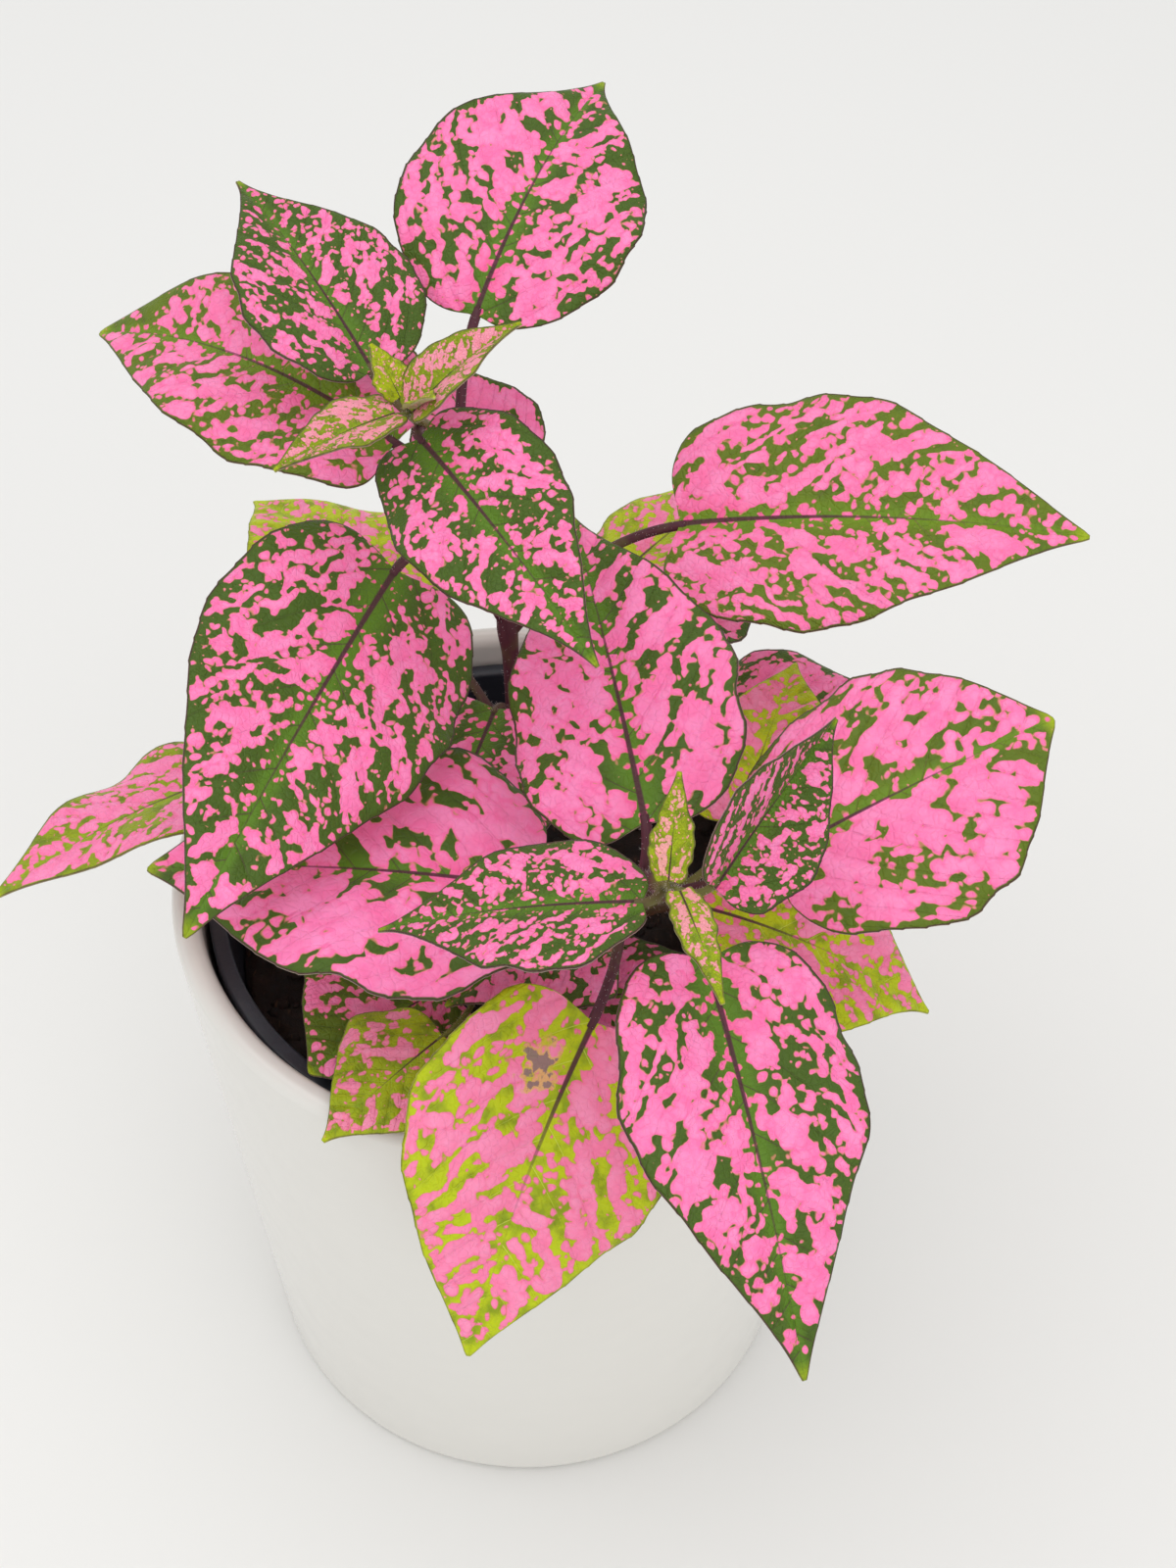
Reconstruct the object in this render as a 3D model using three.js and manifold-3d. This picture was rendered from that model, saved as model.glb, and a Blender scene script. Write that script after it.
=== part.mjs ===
// Potted polka dot plant, in millimetres, +Z up.
// The origin is the middle of the ceramic pot's flat base, and the plant's front faces -Y.
import * as THREE from 'three';
import { mergeVertices } from 'three/addons/utils/BufferGeometryUtils.js';
import Module from 'manifold-3d';

const wasm = await Module();
wasm.setup();

// ---- Driving dimensions -------------------------------------------------------------------

const SEAT_GAP = 0.3; // between two pieces that touch
const HOLE_GAP = 0.7; // round a stem in the soil

const CERAMIC = {
  height: 126,
  rimRadius: 60,
  baseRadius: 52.5,
  wall: 4.8,
  floor: 7,
  baseRounding: 3,
  sides: 48,
};

const NURSERY = {
  rimTop: 121,
  rimRadius: 54,
  rimWidth: 3,
  rimDepth: 6,
  baseRadius: 44,
  wall: 1.2,
  drainHoles: 4,
  drainRadius: 4,
  drainCircle: 30,
  sides: 32,
};

const SOIL = {
  top: 104,
  relief: 1.4, // of the crumbs on its surface
  rings: 4,
  rootDepth: 24, // how far each stem stands in the soil
};

const BLADE = {
  thickness: 0.8, // square to the leaf, so a sloping side is a little thinner
  rows: 12, // from the leaf's base to its tip
  smallRows: 5,
  columns: 2, // from the midrib to each margin
  heartLobe: 0.7, // how far the base reaches back beside its stalk, as a share of the length
  marginLead: 0.085, // how far the sides run ahead of the midrib, as a share of the length
  tipNarrowing: 0.35, // share of the width that is lost close to the tip
  baseHalfWidth: 0.9,
  tipHalfWidth: 0.35,
  teeth: 6, // on each margin
  toothDepth: 0.012, // share of the half width
  rowSpread: 1.6, // crowds the midrib's rows towards the base
  arch: 0.16, // how far the margins bend down again, as a share of the half width
  waves: 2.5, // on each margin
  waveLead: 0.35, // turns by which the left margin's waves lead the right's
};

const STALK = {
  radius: 0.85,
  stoutRadius: 1, // under a long leaf
  stoutFrom: 45, // a leaf of this length or more has a stout stalk
  smallRadius: 0.8,
  smallSink: 1, // how far it runs into a small leaf, which is one piece with it
  bend: 0.45, // where it turns towards its blade, as a share of its reach back from the blade
  stepLength: 5,
  sides: 6,
};

const STEM_SIDES = 6;

// ---- Colours ------------------------------------------------------------------------------

const finish = (color, roughness, metalness = 0) =>
  new THREE.MeshStandardMaterial({ color, roughness, metalness });

const ceramicGlaze = () => finish(0xf1efec, 0.22);
const blackPlastic = () => finish(0x1b1c20, 0.5);
const darkSoil = () => finish(0x2c211a, 0.95);
const purpleStem = () => finish(0x6b3a4a, 0.55);
const pinkLeaf = () => finish(0xff7fba, 0.45);
const limeLeaf = () => finish(0xb4c81e, 0.5);

// ---- The plant: four stems, each with pairs of leaves that cross the pair below -------------
// A stem's path runs up from where it leaves the soil. A leaf leaves its stem at height `from`,
// and its blade starts at `at`. Heading is the angle of the blade seen from above, 0 along +X
// and 90 along +Y. Pitch is its rise at the base and droop is how far it bends down by the tip.
// Roll lowers its left side, and fold lifts both sides from the midrib. Angles are in degrees.
// Wave is the height of the margins' waves, phase the turn at which they start, and taper how
// early the blade is widest: a higher one is nearer the base. Full is 1 for a blade with even
// curves, and less for one with squarer shoulders. A lime leaf is old or shaded.

const PLAIN_LEAF = { roll: 0, fold: 10, wave: 1.2, phase: 0, taper: 2, full: 0.8, lime: 0 };

function leaf(stem, from, at, heading, pitch, shape) {
  return { stem, from, at, heading, pitch, ...PLAIN_LEAF, ...shape };
}

const STEMS = {
  tall: {
    radius: 1.7,
    path: [[-2, 20, 104], [-1, 27, 122], [-2, 34, 150], [-7, 36, 178], [-12, 29, 197], [-15, 20, 209]],
  },
  front: {
    radius: 1.6,
    path: [[12, -6, 104], [16, -13, 122], [18, -22, 143], [20, -34, 162], [23, -47, 177], [24, -54, 185]],
  },
  rear: { radius: 1.4, path: [[12, 30, 104], [11, 37, 124], [8, 42, 146], [4, 44, 164]] },
  low: { radius: 1.3, path: [[-12, -8, 104], [-15, -9, 116], [-19, -6, 129]] },
};

const LARGE_LEAVES = {
  // The tall stem
  leaf_tall_1_left: leaf('tall', 124, [-20, 53, 135], 135, 15, {
    droop: 34, length: 47, width: 36, roll: -14, fold: 8, wave: 1.3, phase: 0.9, taper: 1.6, lime: 1,
  }),
  leaf_tall_1_front: leaf('tall', 128, [-4, 24, 139], -106, 2, {
    droop: 26, length: 46, width: 34, wave: 1, phase: 0.9,
  }),
  leaf_tall_2_right: leaf('tall', 148, [28, 38, 170], -11, 17, {
    droop: 19, length: 68, width: 44, roll: -19, fold: 16, wave: 1.3, phase: 0.35, full: 0.65,
  }),
  leaf_tall_2_front: leaf('tall', 150, [-19, 17, 179], -113, -4, {
    droop: 11, length: 72, width: 43, roll: 31, fold: 5, wave: 1.4, phase: 0.45, taper: 2.25, full: 0.65,
  }),
  leaf_tall_3_left: leaf('tall', 184, [-19, 32, 193], 148, 20, {
    droop: 45, length: 63, width: 34, roll: 18, fold: 15, wave: 1.8, phase: 0.2, taper: 1.8, full: 0.6,
  }),
  leaf_tall_3_back: leaf('tall', 184, [-6, 50, 205], 64, 40, {
    droop: 42, length: 51, width: 40, roll: -11, fold: 12, wave: 1.6, phase: 0.05, taper: 1.6, full: 0.9,
  }),
  leaf_tall_4_back: leaf('tall', 199, [-22, 34, 206], 126, 32, {
    droop: 24, length: 41, width: 30, roll: -6, fold: 18, wave: 0.4, phase: 0.35, taper: 1.9, full: 0.95,
  }),
  leaf_tall_4_front: leaf('tall', 199, [-13.5, 18.5, 205], -57, -2, {
    droop: 13, length: 50, width: 26, roll: -24, fold: 15, wave: 1.3, phase: 0.95, taper: 1.9, full: 0.85,
  }),

  // The front stem
  leaf_front_1_right: leaf('front', 118, [31, -16, 133], -15, -3, {
    droop: 35, length: 43, width: 40, roll: -4, phase: 0.25, taper: 1.75, full: 0.9, lime: 1,
  }),
  leaf_front_1_left: leaf('front', 118, [12, -19.5, 132], 216, 14, {
    droop: 26, length: 28, width: 29, wave: 1, phase: 0.6,
  }),
  leaf_front_2_front: leaf('front', 132, [13, -46, 142], -117, -21, {
    droop: 37, length: 56, width: 42, roll: 33, wave: 1.5, phase: 0.5, taper: 1.9, full: 0.7, lime: 1,
  }),
  leaf_front_2_back: leaf('front', 132, [38, -3, 140], 72, 18, {
    droop: 25, length: 36, width: 26, roll: 12, phase: 0.6, lime: 1,
  }),
  leaf_front_3_left: leaf('front', 147, [4, -26, 150], 179, 13, {
    droop: 19, length: 61, width: 48, roll: 2, fold: 14, wave: 2.2, phase: 0.4, taper: 1.7, full: 0.6,
  }),
  leaf_front_3_right: leaf('front', 147, [40, -31, 163], 19, 23, {
    droop: 8, length: 48, width: 43, roll: -10, fold: 4, wave: 0.9, phase: 0.55, taper: 1.25, full: 0.55,
  }),
  leaf_front_4_back: leaf('front', 165, [21, -32, 173], 101, 20, {
    droop: 24, length: 61, width: 37, roll: 23, fold: 4, wave: 1.9, phase: 0.1,
  }),
  leaf_front_4_front: leaf('front', 165, [29, -57, 172], -75, -16, {
    droop: 30, length: 60, width: 35, roll: 9, fold: 12, wave: 1.6, phase: 0.3, taper: 2.1, full: 0.75,
  }),
  leaf_front_5_left: leaf('front', 177, [20, -54, 181], 176, -5, {
    droop: 18, length: 39, width: 23, fold: 12, wave: 0.8, phase: 0.45, taper: 1.75, full: 1,
  }),
  leaf_front_5_right: leaf('front', 177, [30, -51, 181], 52, 23, {
    droop: 8, length: 31, width: 18, roll: -56, fold: 36, wave: 0.2, phase: 0.95, full: 0.85,
  }),

  // The low stem, under the others at the left and in front
  leaf_low_1_front: leaf('low', 113, [-11, -41, 131], -139, -6, {
    droop: 14, length: 25, width: 26, roll: -3, fold: 7, wave: 0.9, full: 0.9, lime: 1,
  }),
  leaf_low_1_left: leaf('low', 113, [-12, -26, 124], -140, 7, {
    droop: 12, length: 27, width: 37, roll: 5, fold: 8, wave: 0.6, phase: 0.6, taper: 1.7, full: 0.6,
  }),
  leaf_low_1_back: leaf('low', 116, [-24, 10, 126], 120, 22, {
    droop: 36, length: 44, width: 30, phase: 0.5,
  }),
  leaf_low_2_left: leaf('low', 124, [-40, 14, 136], -143, 23, {
    droop: 37, length: 57, width: 28, roll: -16, wave: 2, phase: 0.15, taper: 1.9, full: 0.6,
  }),
  leaf_low_2_right: leaf('low', 120, [10, -26.5, 121], 0, 16, {
    droop: 26, length: 30, width: 22, phase: 0.7,
  }),

  // The rear stem
  leaf_rear_1_back: leaf('rear', 120, [19, 50, 129], 58, 12, {
    droop: 50, length: 44, width: 34, phase: 0.5,
  }),
  leaf_rear_1_right: leaf('rear', 120, [30, 28, 127], 4, 32, {
    droop: 60, length: 44, width: 30, phase: 0.4,
  }),
  leaf_rear_2_right: leaf('rear', 140, [16, 49, 145], 47, 11, {
    droop: 18, length: 43, width: 26, roll: 10, fold: 8, wave: 0.7, phase: 0.45, lime: 1,
  }),
  leaf_rear_3_left: leaf('rear', 158, [-2, 47, 170], 120, 29, {
    droop: 22, length: 30, width: 23, roll: 5, fold: 13, wave: 0.4, taper: 1.75, full: 1,
  }),
};

const SMALL_LEAVES = [
  leaf('tall', 206, [-14, 17.5, 211], 27, 45, { droop: 30, length: 21, width: 10, fold: 30, wave: 0.3 }),
  leaf('tall', 206, [-17, 17, 211], -145, 8, { droop: 20, length: 21, width: 10, fold: 25, wave: 0.3 }),
  leaf('tall', 208, [-16.5, 20, 212], 130, 50, { droop: 16, length: 9, width: 5, fold: 24, wave: 0.3 }),
  leaf('tall', 208, [-14, 18, 212], -50, 50, { droop: 16, length: 7, width: 4, fold: 24, wave: 0.3 }),
  leaf('front', 183, [23.5, -55, 187.5], 82, 57, { droop: 20, length: 15, width: 5, fold: 19, wave: 0.3 }),
  leaf('front', 183, [25, -57, 187], -74, 9, { droop: 24, length: 19, width: 4.5, fold: 17, wave: 0.3 }),
];

// ---- Solids: meshes joined and cut ----------------------------------------------------------

function toSolid(geometry) {
  const bare = geometry.index ? geometry.toNonIndexed() : geometry.clone();
  bare.deleteAttribute('normal');
  bare.deleteAttribute('uv');
  const merged = mergeVertices(bare, 1e-4);
  const triVerts = new Uint32Array(merged.index.array);
  const vertProperties = new Float32Array(merged.attributes.position.array);
  return new wasm.Manifold(new wasm.Mesh({ numProp: 3, vertProperties, triVerts }));
}

function toGeometry(solid) {
  const mesh = solid.getMesh();
  const geometry = new THREE.BufferGeometry();
  geometry.setAttribute('position', new THREE.BufferAttribute(new Float32Array(mesh.vertProperties), 3));
  geometry.setIndex(new THREE.BufferAttribute(new Uint32Array(mesh.triVerts), 1));
  geometry.computeVertexNormals();
  return geometry;
}

const joinAll = (solids) => solids.reduce((whole, next) => whole.add(next));

// A closed profile of [radius, height] points, turned about Z.
function turned(profile, sides) {
  const points = profile.map(([radius, height]) => new THREE.Vector2(radius, height));
  return new THREE.LatheGeometry(points, sides).rotateX(Math.PI / 2);
}

function tube(curve, radius, sides, steps) {
  const section = new THREE.Shape();
  section.absarc(0, 0, radius, 0, 2 * Math.PI, false);
  return new THREE.ExtrudeGeometry(section, {
    extrudePath: curve,
    steps,
    curveSegments: sides / 2,
    bevelEnabled: false,
  });
}

// ---- A leaf blade -----------------------------------------------------------------------------

const radians = THREE.MathUtils.degToRad;

// The blade's outline, for `share` from 0 at the base to 1 at the tip: how far along the
// midrib the margin lies, as a share of the length, and its distance out from the midrib.
// The base is heart-shaped, and the tip is drawn out.
function margin(leaf, share) {
  const swell = Math.sin(Math.PI * share);
  const lobe = BLADE.heartLobe * share * (1 - share) ** 6;
  const along = share ** leaf.taper + BLADE.marginLead * swell ** 2 - lobe;
  const tooth = 1 + BLADE.toothDepth * Math.cos(2 * Math.PI * BLADE.teeth * share);
  const body = Math.max(swell, 0) ** leaf.full * (1 - BLADE.tipNarrowing * share ** 8);
  const out = (leaf.width / 2) * body * tooth;
  return { along, out: out + THREE.MathUtils.lerp(BLADE.baseHalfWidth, BLADE.tipHalfWidth, share) };
}

// The midrib's point and frame at a distance along it. It bends down evenly to the tip.
function midrib(leaf, distance) {
  const heading = radians(leaf.heading);
  const ahead = new THREE.Vector3(Math.cos(heading), Math.sin(heading), 0);
  const rise = radians(leaf.pitch);
  const bend = radians(leaf.droop) / leaf.length;
  const inside = THREE.MathUtils.clamp(distance, 0, leaf.length);
  const slope = rise - bend * inside;
  const point = new THREE.Vector3(...leaf.at)
    .addScaledVector(ahead, (Math.sin(rise) - Math.sin(slope)) / bend)
    .add(new THREE.Vector3(0, 0, (Math.cos(slope) - Math.cos(rise)) / bend));
  const tangent = ahead.clone().multiplyScalar(Math.cos(slope));
  tangent.z = Math.sin(slope);
  point.addScaledVector(tangent, distance - inside);
  const level = new THREE.Vector3(-Math.sin(heading), Math.cos(heading), 0);
  const up = tangent.clone().cross(level);
  const roll = radians(leaf.roll);
  const left = level.clone().multiplyScalar(Math.cos(roll)).addScaledVector(up, -Math.sin(roll));
  return { point, left, up: tangent.clone().cross(left) };
}

// A point of the blade's middle layer and the direction that its upper face looks. `side` runs
// from -1 at the right margin to 1 at the left one.
function bladePoint(leaf, share, side) {
  const edge = margin(leaf, share);
  const reach = Math.abs(side);
  const along = leaf.length * THREE.MathUtils.lerp(share ** BLADE.rowSpread, edge.along, reach);
  const out = reach * edge.out;
  const across = out / (leaf.width / 2);
  const fold = Math.tan(radians(leaf.fold)) * across;
  const arch = BLADE.arch * across ** 2;
  const turns = BLADE.waves * share + leaf.phase + (side > 0 ? BLADE.waveLead : 0);
  const ripple = leaf.wave * reach ** 2 * Math.sin(2 * Math.PI * turns) * Math.sin(Math.PI * share);
  const frame = midrib(leaf, along);
  frame.point
    .addScaledVector(frame.left, Math.sign(side) * out)
    .addScaledVector(frame.up, (leaf.width / 2) * (fold - arch) + ripple);
  return frame;
}

// The blade as a closed sheet of even thickness, split into triangles alike on both faces.
function blade(leaf, rows) {
  const across = 2 * BLADE.columns;
  const middle = [];
  for (let row = 0; row <= rows; row += 1) {
    for (let column = 0; column <= across; column += 1) {
      middle.push(bladePoint(leaf, row / rows, column / BLADE.columns - 1));
    }
  }
  const number = (row, column) => row * (across + 1) + column;
  const positions = [];
  for (const half of [BLADE.thickness / 2, -BLADE.thickness / 2]) {
    for (const { point, up } of middle) {
      positions.push(...point.clone().addScaledVector(up, half).toArray());
    }
  }
  const under = middle.length;
  const triangles = [];
  const addQuad = (a, b, c, d) => triangles.push(a, b, c, a, c, d);
  for (let row = 0; row < rows; row += 1) {
    for (let column = 0; column < across; column += 1) {
      const [a, b] = [number(row, column), number(row + 1, column)];
      addQuad(a, b, b + 1, a + 1);
      triangles.push(under + a, under + b + 1, under + b);
      triangles.push(under + a, under + a + 1, under + b + 1);
    }
  }
  const rim = [];
  for (let row = 0; row < rows; row += 1) rim.push(number(row, 0));
  for (let column = 0; column < across; column += 1) rim.push(number(rows, column));
  for (let row = rows; row > 0; row -= 1) rim.push(number(row, across));
  for (let column = across; column > 0; column -= 1) rim.push(number(0, column));
  rim.forEach((start, place) => {
    const end = rim[(place + 1) % rim.length];
    addQuad(end, start, under + start, under + end);
  });
  const geometry = new THREE.BufferGeometry();
  geometry.setAttribute('position', new THREE.Float32BufferAttribute(positions, 3));
  geometry.setIndex(triangles);
  geometry.computeVertexNormals();
  return geometry;
}

// ---- Stems with their leaf stalks ---------------------------------------------------------------

const vector = (point) => new THREE.Vector3(...point);

// The stem's line, from the bottom of its root, which goes straight down from the soil's top.
function stemLine(stem, rootDepth) {
  const [x, y, z] = stem.path[0];
  const root = [[x, y, z - rootDepth], [x, y, z - rootDepth / 2]];
  return new THREE.CatmullRomCurve3([...root, ...stem.path].map(vector), false, 'centripetal');
}

function pointAtHeight(line, height) {
  let [low, high] = [0, 1];
  for (let halving = 0; halving < 20; halving += 1) {
    const half = (low + high) / 2;
    if (line.getPoint(half).z < height) low = half;
    else high = half;
  }
  return line.getPoint(low);
}

// A stalk leaves the stem's middle and turns to run into its blade.
function stalk(leaf, line, radius, end) {
  const start = pointAtHeight(line, leaf.from);
  const { point, left, up } = midrib(leaf, 0);
  const along = left.clone().cross(up);
  const stop = point.clone().addScaledVector(along, end);
  const reach = start.distanceTo(stop);
  const bend = stop.clone().addScaledVector(along, -STALK.bend * reach);
  const curve = new THREE.QuadraticBezierCurve3(start, bend, stop);
  return tube(curve, radius, STALK.sides, Math.max(3, Math.round(reach / STALK.stepLength)));
}

function leafyStem(name) {
  const stem = STEMS[name];
  const line = stemLine(stem, SOIL.rootDepth);
  const steps = 3 * (stem.path.length + 2);
  const solids = [toSolid(tube(line, stem.radius, STEM_SIDES, steps))];
  for (const leaf of Object.values(LARGE_LEAVES).filter((each) => each.stem === name)) {
    const radius = leaf.length >= STALK.stoutFrom ? STALK.stoutRadius : STALK.radius;
    solids.push(toSolid(stalk(leaf, line, radius, -SEAT_GAP)));
  }
  for (const leaf of SMALL_LEAVES.filter((each) => each.stem === name)) {
    solids.push(toSolid(stalk(leaf, line, STALK.smallRadius, STALK.smallSink)));
    solids.push(toSolid(blade(leaf, BLADE.smallRows)));
  }
  return toGeometry(joinAll(solids));
}

function stemHole(name) {
  const { path, radius } = STEMS[name];
  const [x, y] = path[0];
  const clear = radius + HOLE_GAP;
  const bottom = SOIL.top - SOIL.rootDepth - SEAT_GAP;
  const top = SOIL.top + 10;
  const hole = new THREE.CylinderGeometry(clear, clear, top - bottom, 2 * STEM_SIDES);
  hole.rotateX(Math.PI / 2).translate(x, y, (top + bottom) / 2);
  return toSolid(hole);
}

// ---- Pots and soil --------------------------------------------------------------------------------

const arc = (radius, height, size, from, to, steps) =>
  Array.from({ length: steps + 1 }, (_, step) => {
    const angle = radians(from + ((to - from) * step) / steps);
    return [radius + size * Math.cos(angle), height + size * Math.sin(angle)];
  });

function ceramicPot() {
  const { height, rimRadius, baseRadius, wall, floor, baseRounding } = CERAMIC;
  const lip = wall / 2;
  return turned(
    [
      [0, 0],
      ...arc(baseRadius - baseRounding, baseRounding, baseRounding, -90, 0, 3),
      ...arc(rimRadius - lip, height - lip, lip, 0, 180, 6),
      [baseRadius - wall, floor + 3],
      [baseRadius - wall - 3, floor],
      [0, floor],
    ],
    CERAMIC.sides,
  );
}

const nurseryBottom = CERAMIC.floor + SEAT_GAP;

function nurseryPot() {
  const { rimTop, rimRadius, rimWidth, rimDepth, baseRadius, wall } = NURSERY;
  const bodyRadius = rimRadius - rimWidth + wall;
  const shell = turned(
    [
      [0, nurseryBottom],
      [baseRadius, nurseryBottom],
      [bodyRadius, rimTop - rimDepth],
      [rimRadius, rimTop - rimDepth],
      [rimRadius, rimTop],
      [bodyRadius - wall, rimTop],
      [baseRadius - wall, nurseryBottom + wall],
      [0, nurseryBottom + wall],
    ],
    NURSERY.sides,
  );
  let pot = toSolid(shell);
  const { drainHoles, drainRadius, drainCircle } = NURSERY;
  for (let hole = 0; hole < drainHoles; hole += 1) {
    const turn = radians((360 / drainHoles) * (hole + 0.5));
    const drain = new THREE.CylinderGeometry(drainRadius, drainRadius, 5 * wall, 10);
    drain.rotateX(Math.PI / 2);
    drain.translate(drainCircle * Math.cos(turn), drainCircle * Math.sin(turn), nurseryBottom);
    pot = pot.subtract(toSolid(drain));
  }
  return toGeometry(pot);
}

// The nursery pot's inner radius at a height, and the soil's, a seat gap inside it.
function soilRadius(height) {
  const { rimTop, rimRadius, rimWidth, baseRadius, wall } = NURSERY;
  const climbed = (height - nurseryBottom - wall) / (rimTop - nurseryBottom - wall);
  return THREE.MathUtils.lerp(baseRadius - wall, rimRadius - rimWidth, climbed) - SEAT_GAP;
}

// The soil's surface rises and falls in two crossing sets of soft waves.
function crumbs(x, y) {
  return Math.sin(0.31 * x + 1.3) * Math.cos(0.27 * y) + 0.6 * Math.sin(0.62 * y - 0.45 * x);
}

function soil() {
  const bottom = nurseryBottom + NURSERY.wall + SEAT_GAP;
  const outer = soilRadius(SOIL.top);
  const rings = Array.from({ length: SOIL.rings + 1 }, (_, ring) => [
    outer * (1 - ring / SOIL.rings),
    SOIL.top,
  ]);
  const body = turned([[0, bottom], [soilRadius(bottom), bottom], ...rings], NURSERY.sides);
  const position = body.attributes.position;
  for (let index = 0; index < position.count; index += 1) {
    const [x, y, z] = [position.getX(index), position.getY(index), position.getZ(index)];
    const onTop = z > SOIL.top - SEAT_GAP;
    const besideWall = Math.hypot(x, y) > 0.95 * outer;
    if (onTop && !besideWall) position.setZ(index, z + SOIL.relief * crumbs(x, y));
  }
  const cut = (whole, name) => whole.subtract(stemHole(name));
  return toGeometry(Object.keys(STEMS).reduce(cut, toSolid(body)));
}

// ---- The whole plant in its pots --------------------------------------------------------------------

const plant = new THREE.Group();

function add(name, geometry, material) {
  const mesh = new THREE.Mesh(geometry, material);
  mesh.name = name;
  plant.add(mesh);
}

add('ceramic_pot', ceramicPot(), ceramicGlaze());
add('nursery_pot', nurseryPot(), blackPlastic());
add('potting_soil', soil(), darkSoil());
for (const name of Object.keys(STEMS)) {
  add(`stem_${name}`, leafyStem(name), purpleStem());
}
for (const [name, leaf] of Object.entries(LARGE_LEAVES)) {
  add(name, blade(leaf, BLADE.rows), leaf.lime ? limeLeaf() : pinkLeaf());
}

export default plant;
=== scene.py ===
"""A polka dot plant in its pots: pink and green leaves with quilted blades, purple stems and stalks
with fine hairs, crumbly soil in a black nursery pot, and a glossy white ceramic pot round it.

Lengths in the formulas are in millimetres, and each finished mesh is scaled to metres.
"""

import math
import random

import bmesh
import bpy
from bpy.props import FloatProperty, FloatVectorProperty, IntProperty, PointerProperty
from mathutils import Matrix, Vector, noise


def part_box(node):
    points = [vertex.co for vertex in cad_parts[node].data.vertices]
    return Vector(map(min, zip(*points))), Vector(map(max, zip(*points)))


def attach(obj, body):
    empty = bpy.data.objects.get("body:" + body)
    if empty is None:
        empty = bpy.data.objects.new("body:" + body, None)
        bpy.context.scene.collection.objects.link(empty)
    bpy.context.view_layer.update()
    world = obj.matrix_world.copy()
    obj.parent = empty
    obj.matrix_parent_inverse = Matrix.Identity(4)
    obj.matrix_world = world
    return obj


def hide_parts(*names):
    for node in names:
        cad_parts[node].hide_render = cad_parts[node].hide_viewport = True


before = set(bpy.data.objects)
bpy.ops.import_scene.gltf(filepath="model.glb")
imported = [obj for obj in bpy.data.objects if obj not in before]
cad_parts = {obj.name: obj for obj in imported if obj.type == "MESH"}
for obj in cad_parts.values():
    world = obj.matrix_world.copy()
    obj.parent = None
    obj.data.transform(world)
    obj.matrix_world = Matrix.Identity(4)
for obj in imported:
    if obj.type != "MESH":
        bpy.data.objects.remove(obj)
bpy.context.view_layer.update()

bl_info = {
    "name": "Potted Polka Dot Plant",
    "version": (1, 0, 0),
    "blender": (4, 5, 0),
    "location": "View3D > Sidebar > Plant",
    "description": "Builds a pink-spotted house plant in a nursery pot and a ceramic pot",
    "category": "Object",
}

MM = 0.001
TAU = 2 * math.pi


def millimetres(node):
    """A solid's lowest and highest corner in millimetres."""
    low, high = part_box(node)
    return low / MM, high / MM


def linear(code):
    """A screen colour such as ff78b6 as linear red, green and blue."""
    channels = [channel / 255 for channel in bytes.fromhex(code)]
    return tuple(c / 12.92 if c <= 0.04045 else ((c + 0.055) / 1.055) ** 2.4 for c in channels)


def mix(low, high, share):
    return low + (high - low) * share


def clamp(value, low=0, high=1):
    return max(low, min(high, value))


# ---- The plant's plan: stems and leaves ----

SOIL_TOP = 104
ROOT_DEPTH = 24

# Each stem's radius, and the places that its middle line passes through
STEMS = {
    "tall": (1.7, [
        (-2, 20, 104), (-1, 27, 122), (-2, 34, 150), (-7, 36, 178), (-12, 29, 197), (-15, 20, 209),
    ]),
    "front": (1.6, [
        (12, -6, 104), (16, -13, 122), (18, -22, 143), (20, -34, 162), (23, -47, 177),
        (24, -54, 185),
    ]),
    "rear": (1.4, [(12, 30, 104), (11, 37, 124), (8, 42, 146), (4, 44, 164)]),
    "low": (1.3, [(-12, -8, 104), (-15, -9, 116), (-19, -6, 129)]),
}


class Leaf:
    """One leaf: where it leaves its stem and its blade starts, how it lies, and how it is spotted.

    Heading is its angle seen from above, pitch its rise at the base and droop how far it bends
    down by the tip. Roll lowers its left side and fold lifts both. All are given in degrees.
    Wave is how far its margins wave up and down, and phase where the waves start. Taper sets how
    near the base the blade is widest and full how square its shoulders are. Pink is the share of
    the blade that is pink, spots the size of its patches and lime how yellow its green is. Scar
    is a dry patch's place along and left of the midrib, and its radius.
    """

    USUAL = {
        "roll": 0, "fold": 10, "wave": 1.2, "phase": 0, "taper": 2, "full": 0.8,
        "pink": 0.6, "spots": 1, "lime": 0, "scar": None,
    }

    def __init__(self, leaves_at, at, heading, pitch, droop, length, width, **shape):
        self.leaves_at, self.at, self.length, self.width = leaves_at, Vector(at), length, width
        self.heading, self.pitch, self.droop = map(math.radians, (heading, pitch, droop))
        vars(self).update(self.USUAL | shape)
        self.roll, self.fold = math.radians(self.roll), math.radians(self.fold)


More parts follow.
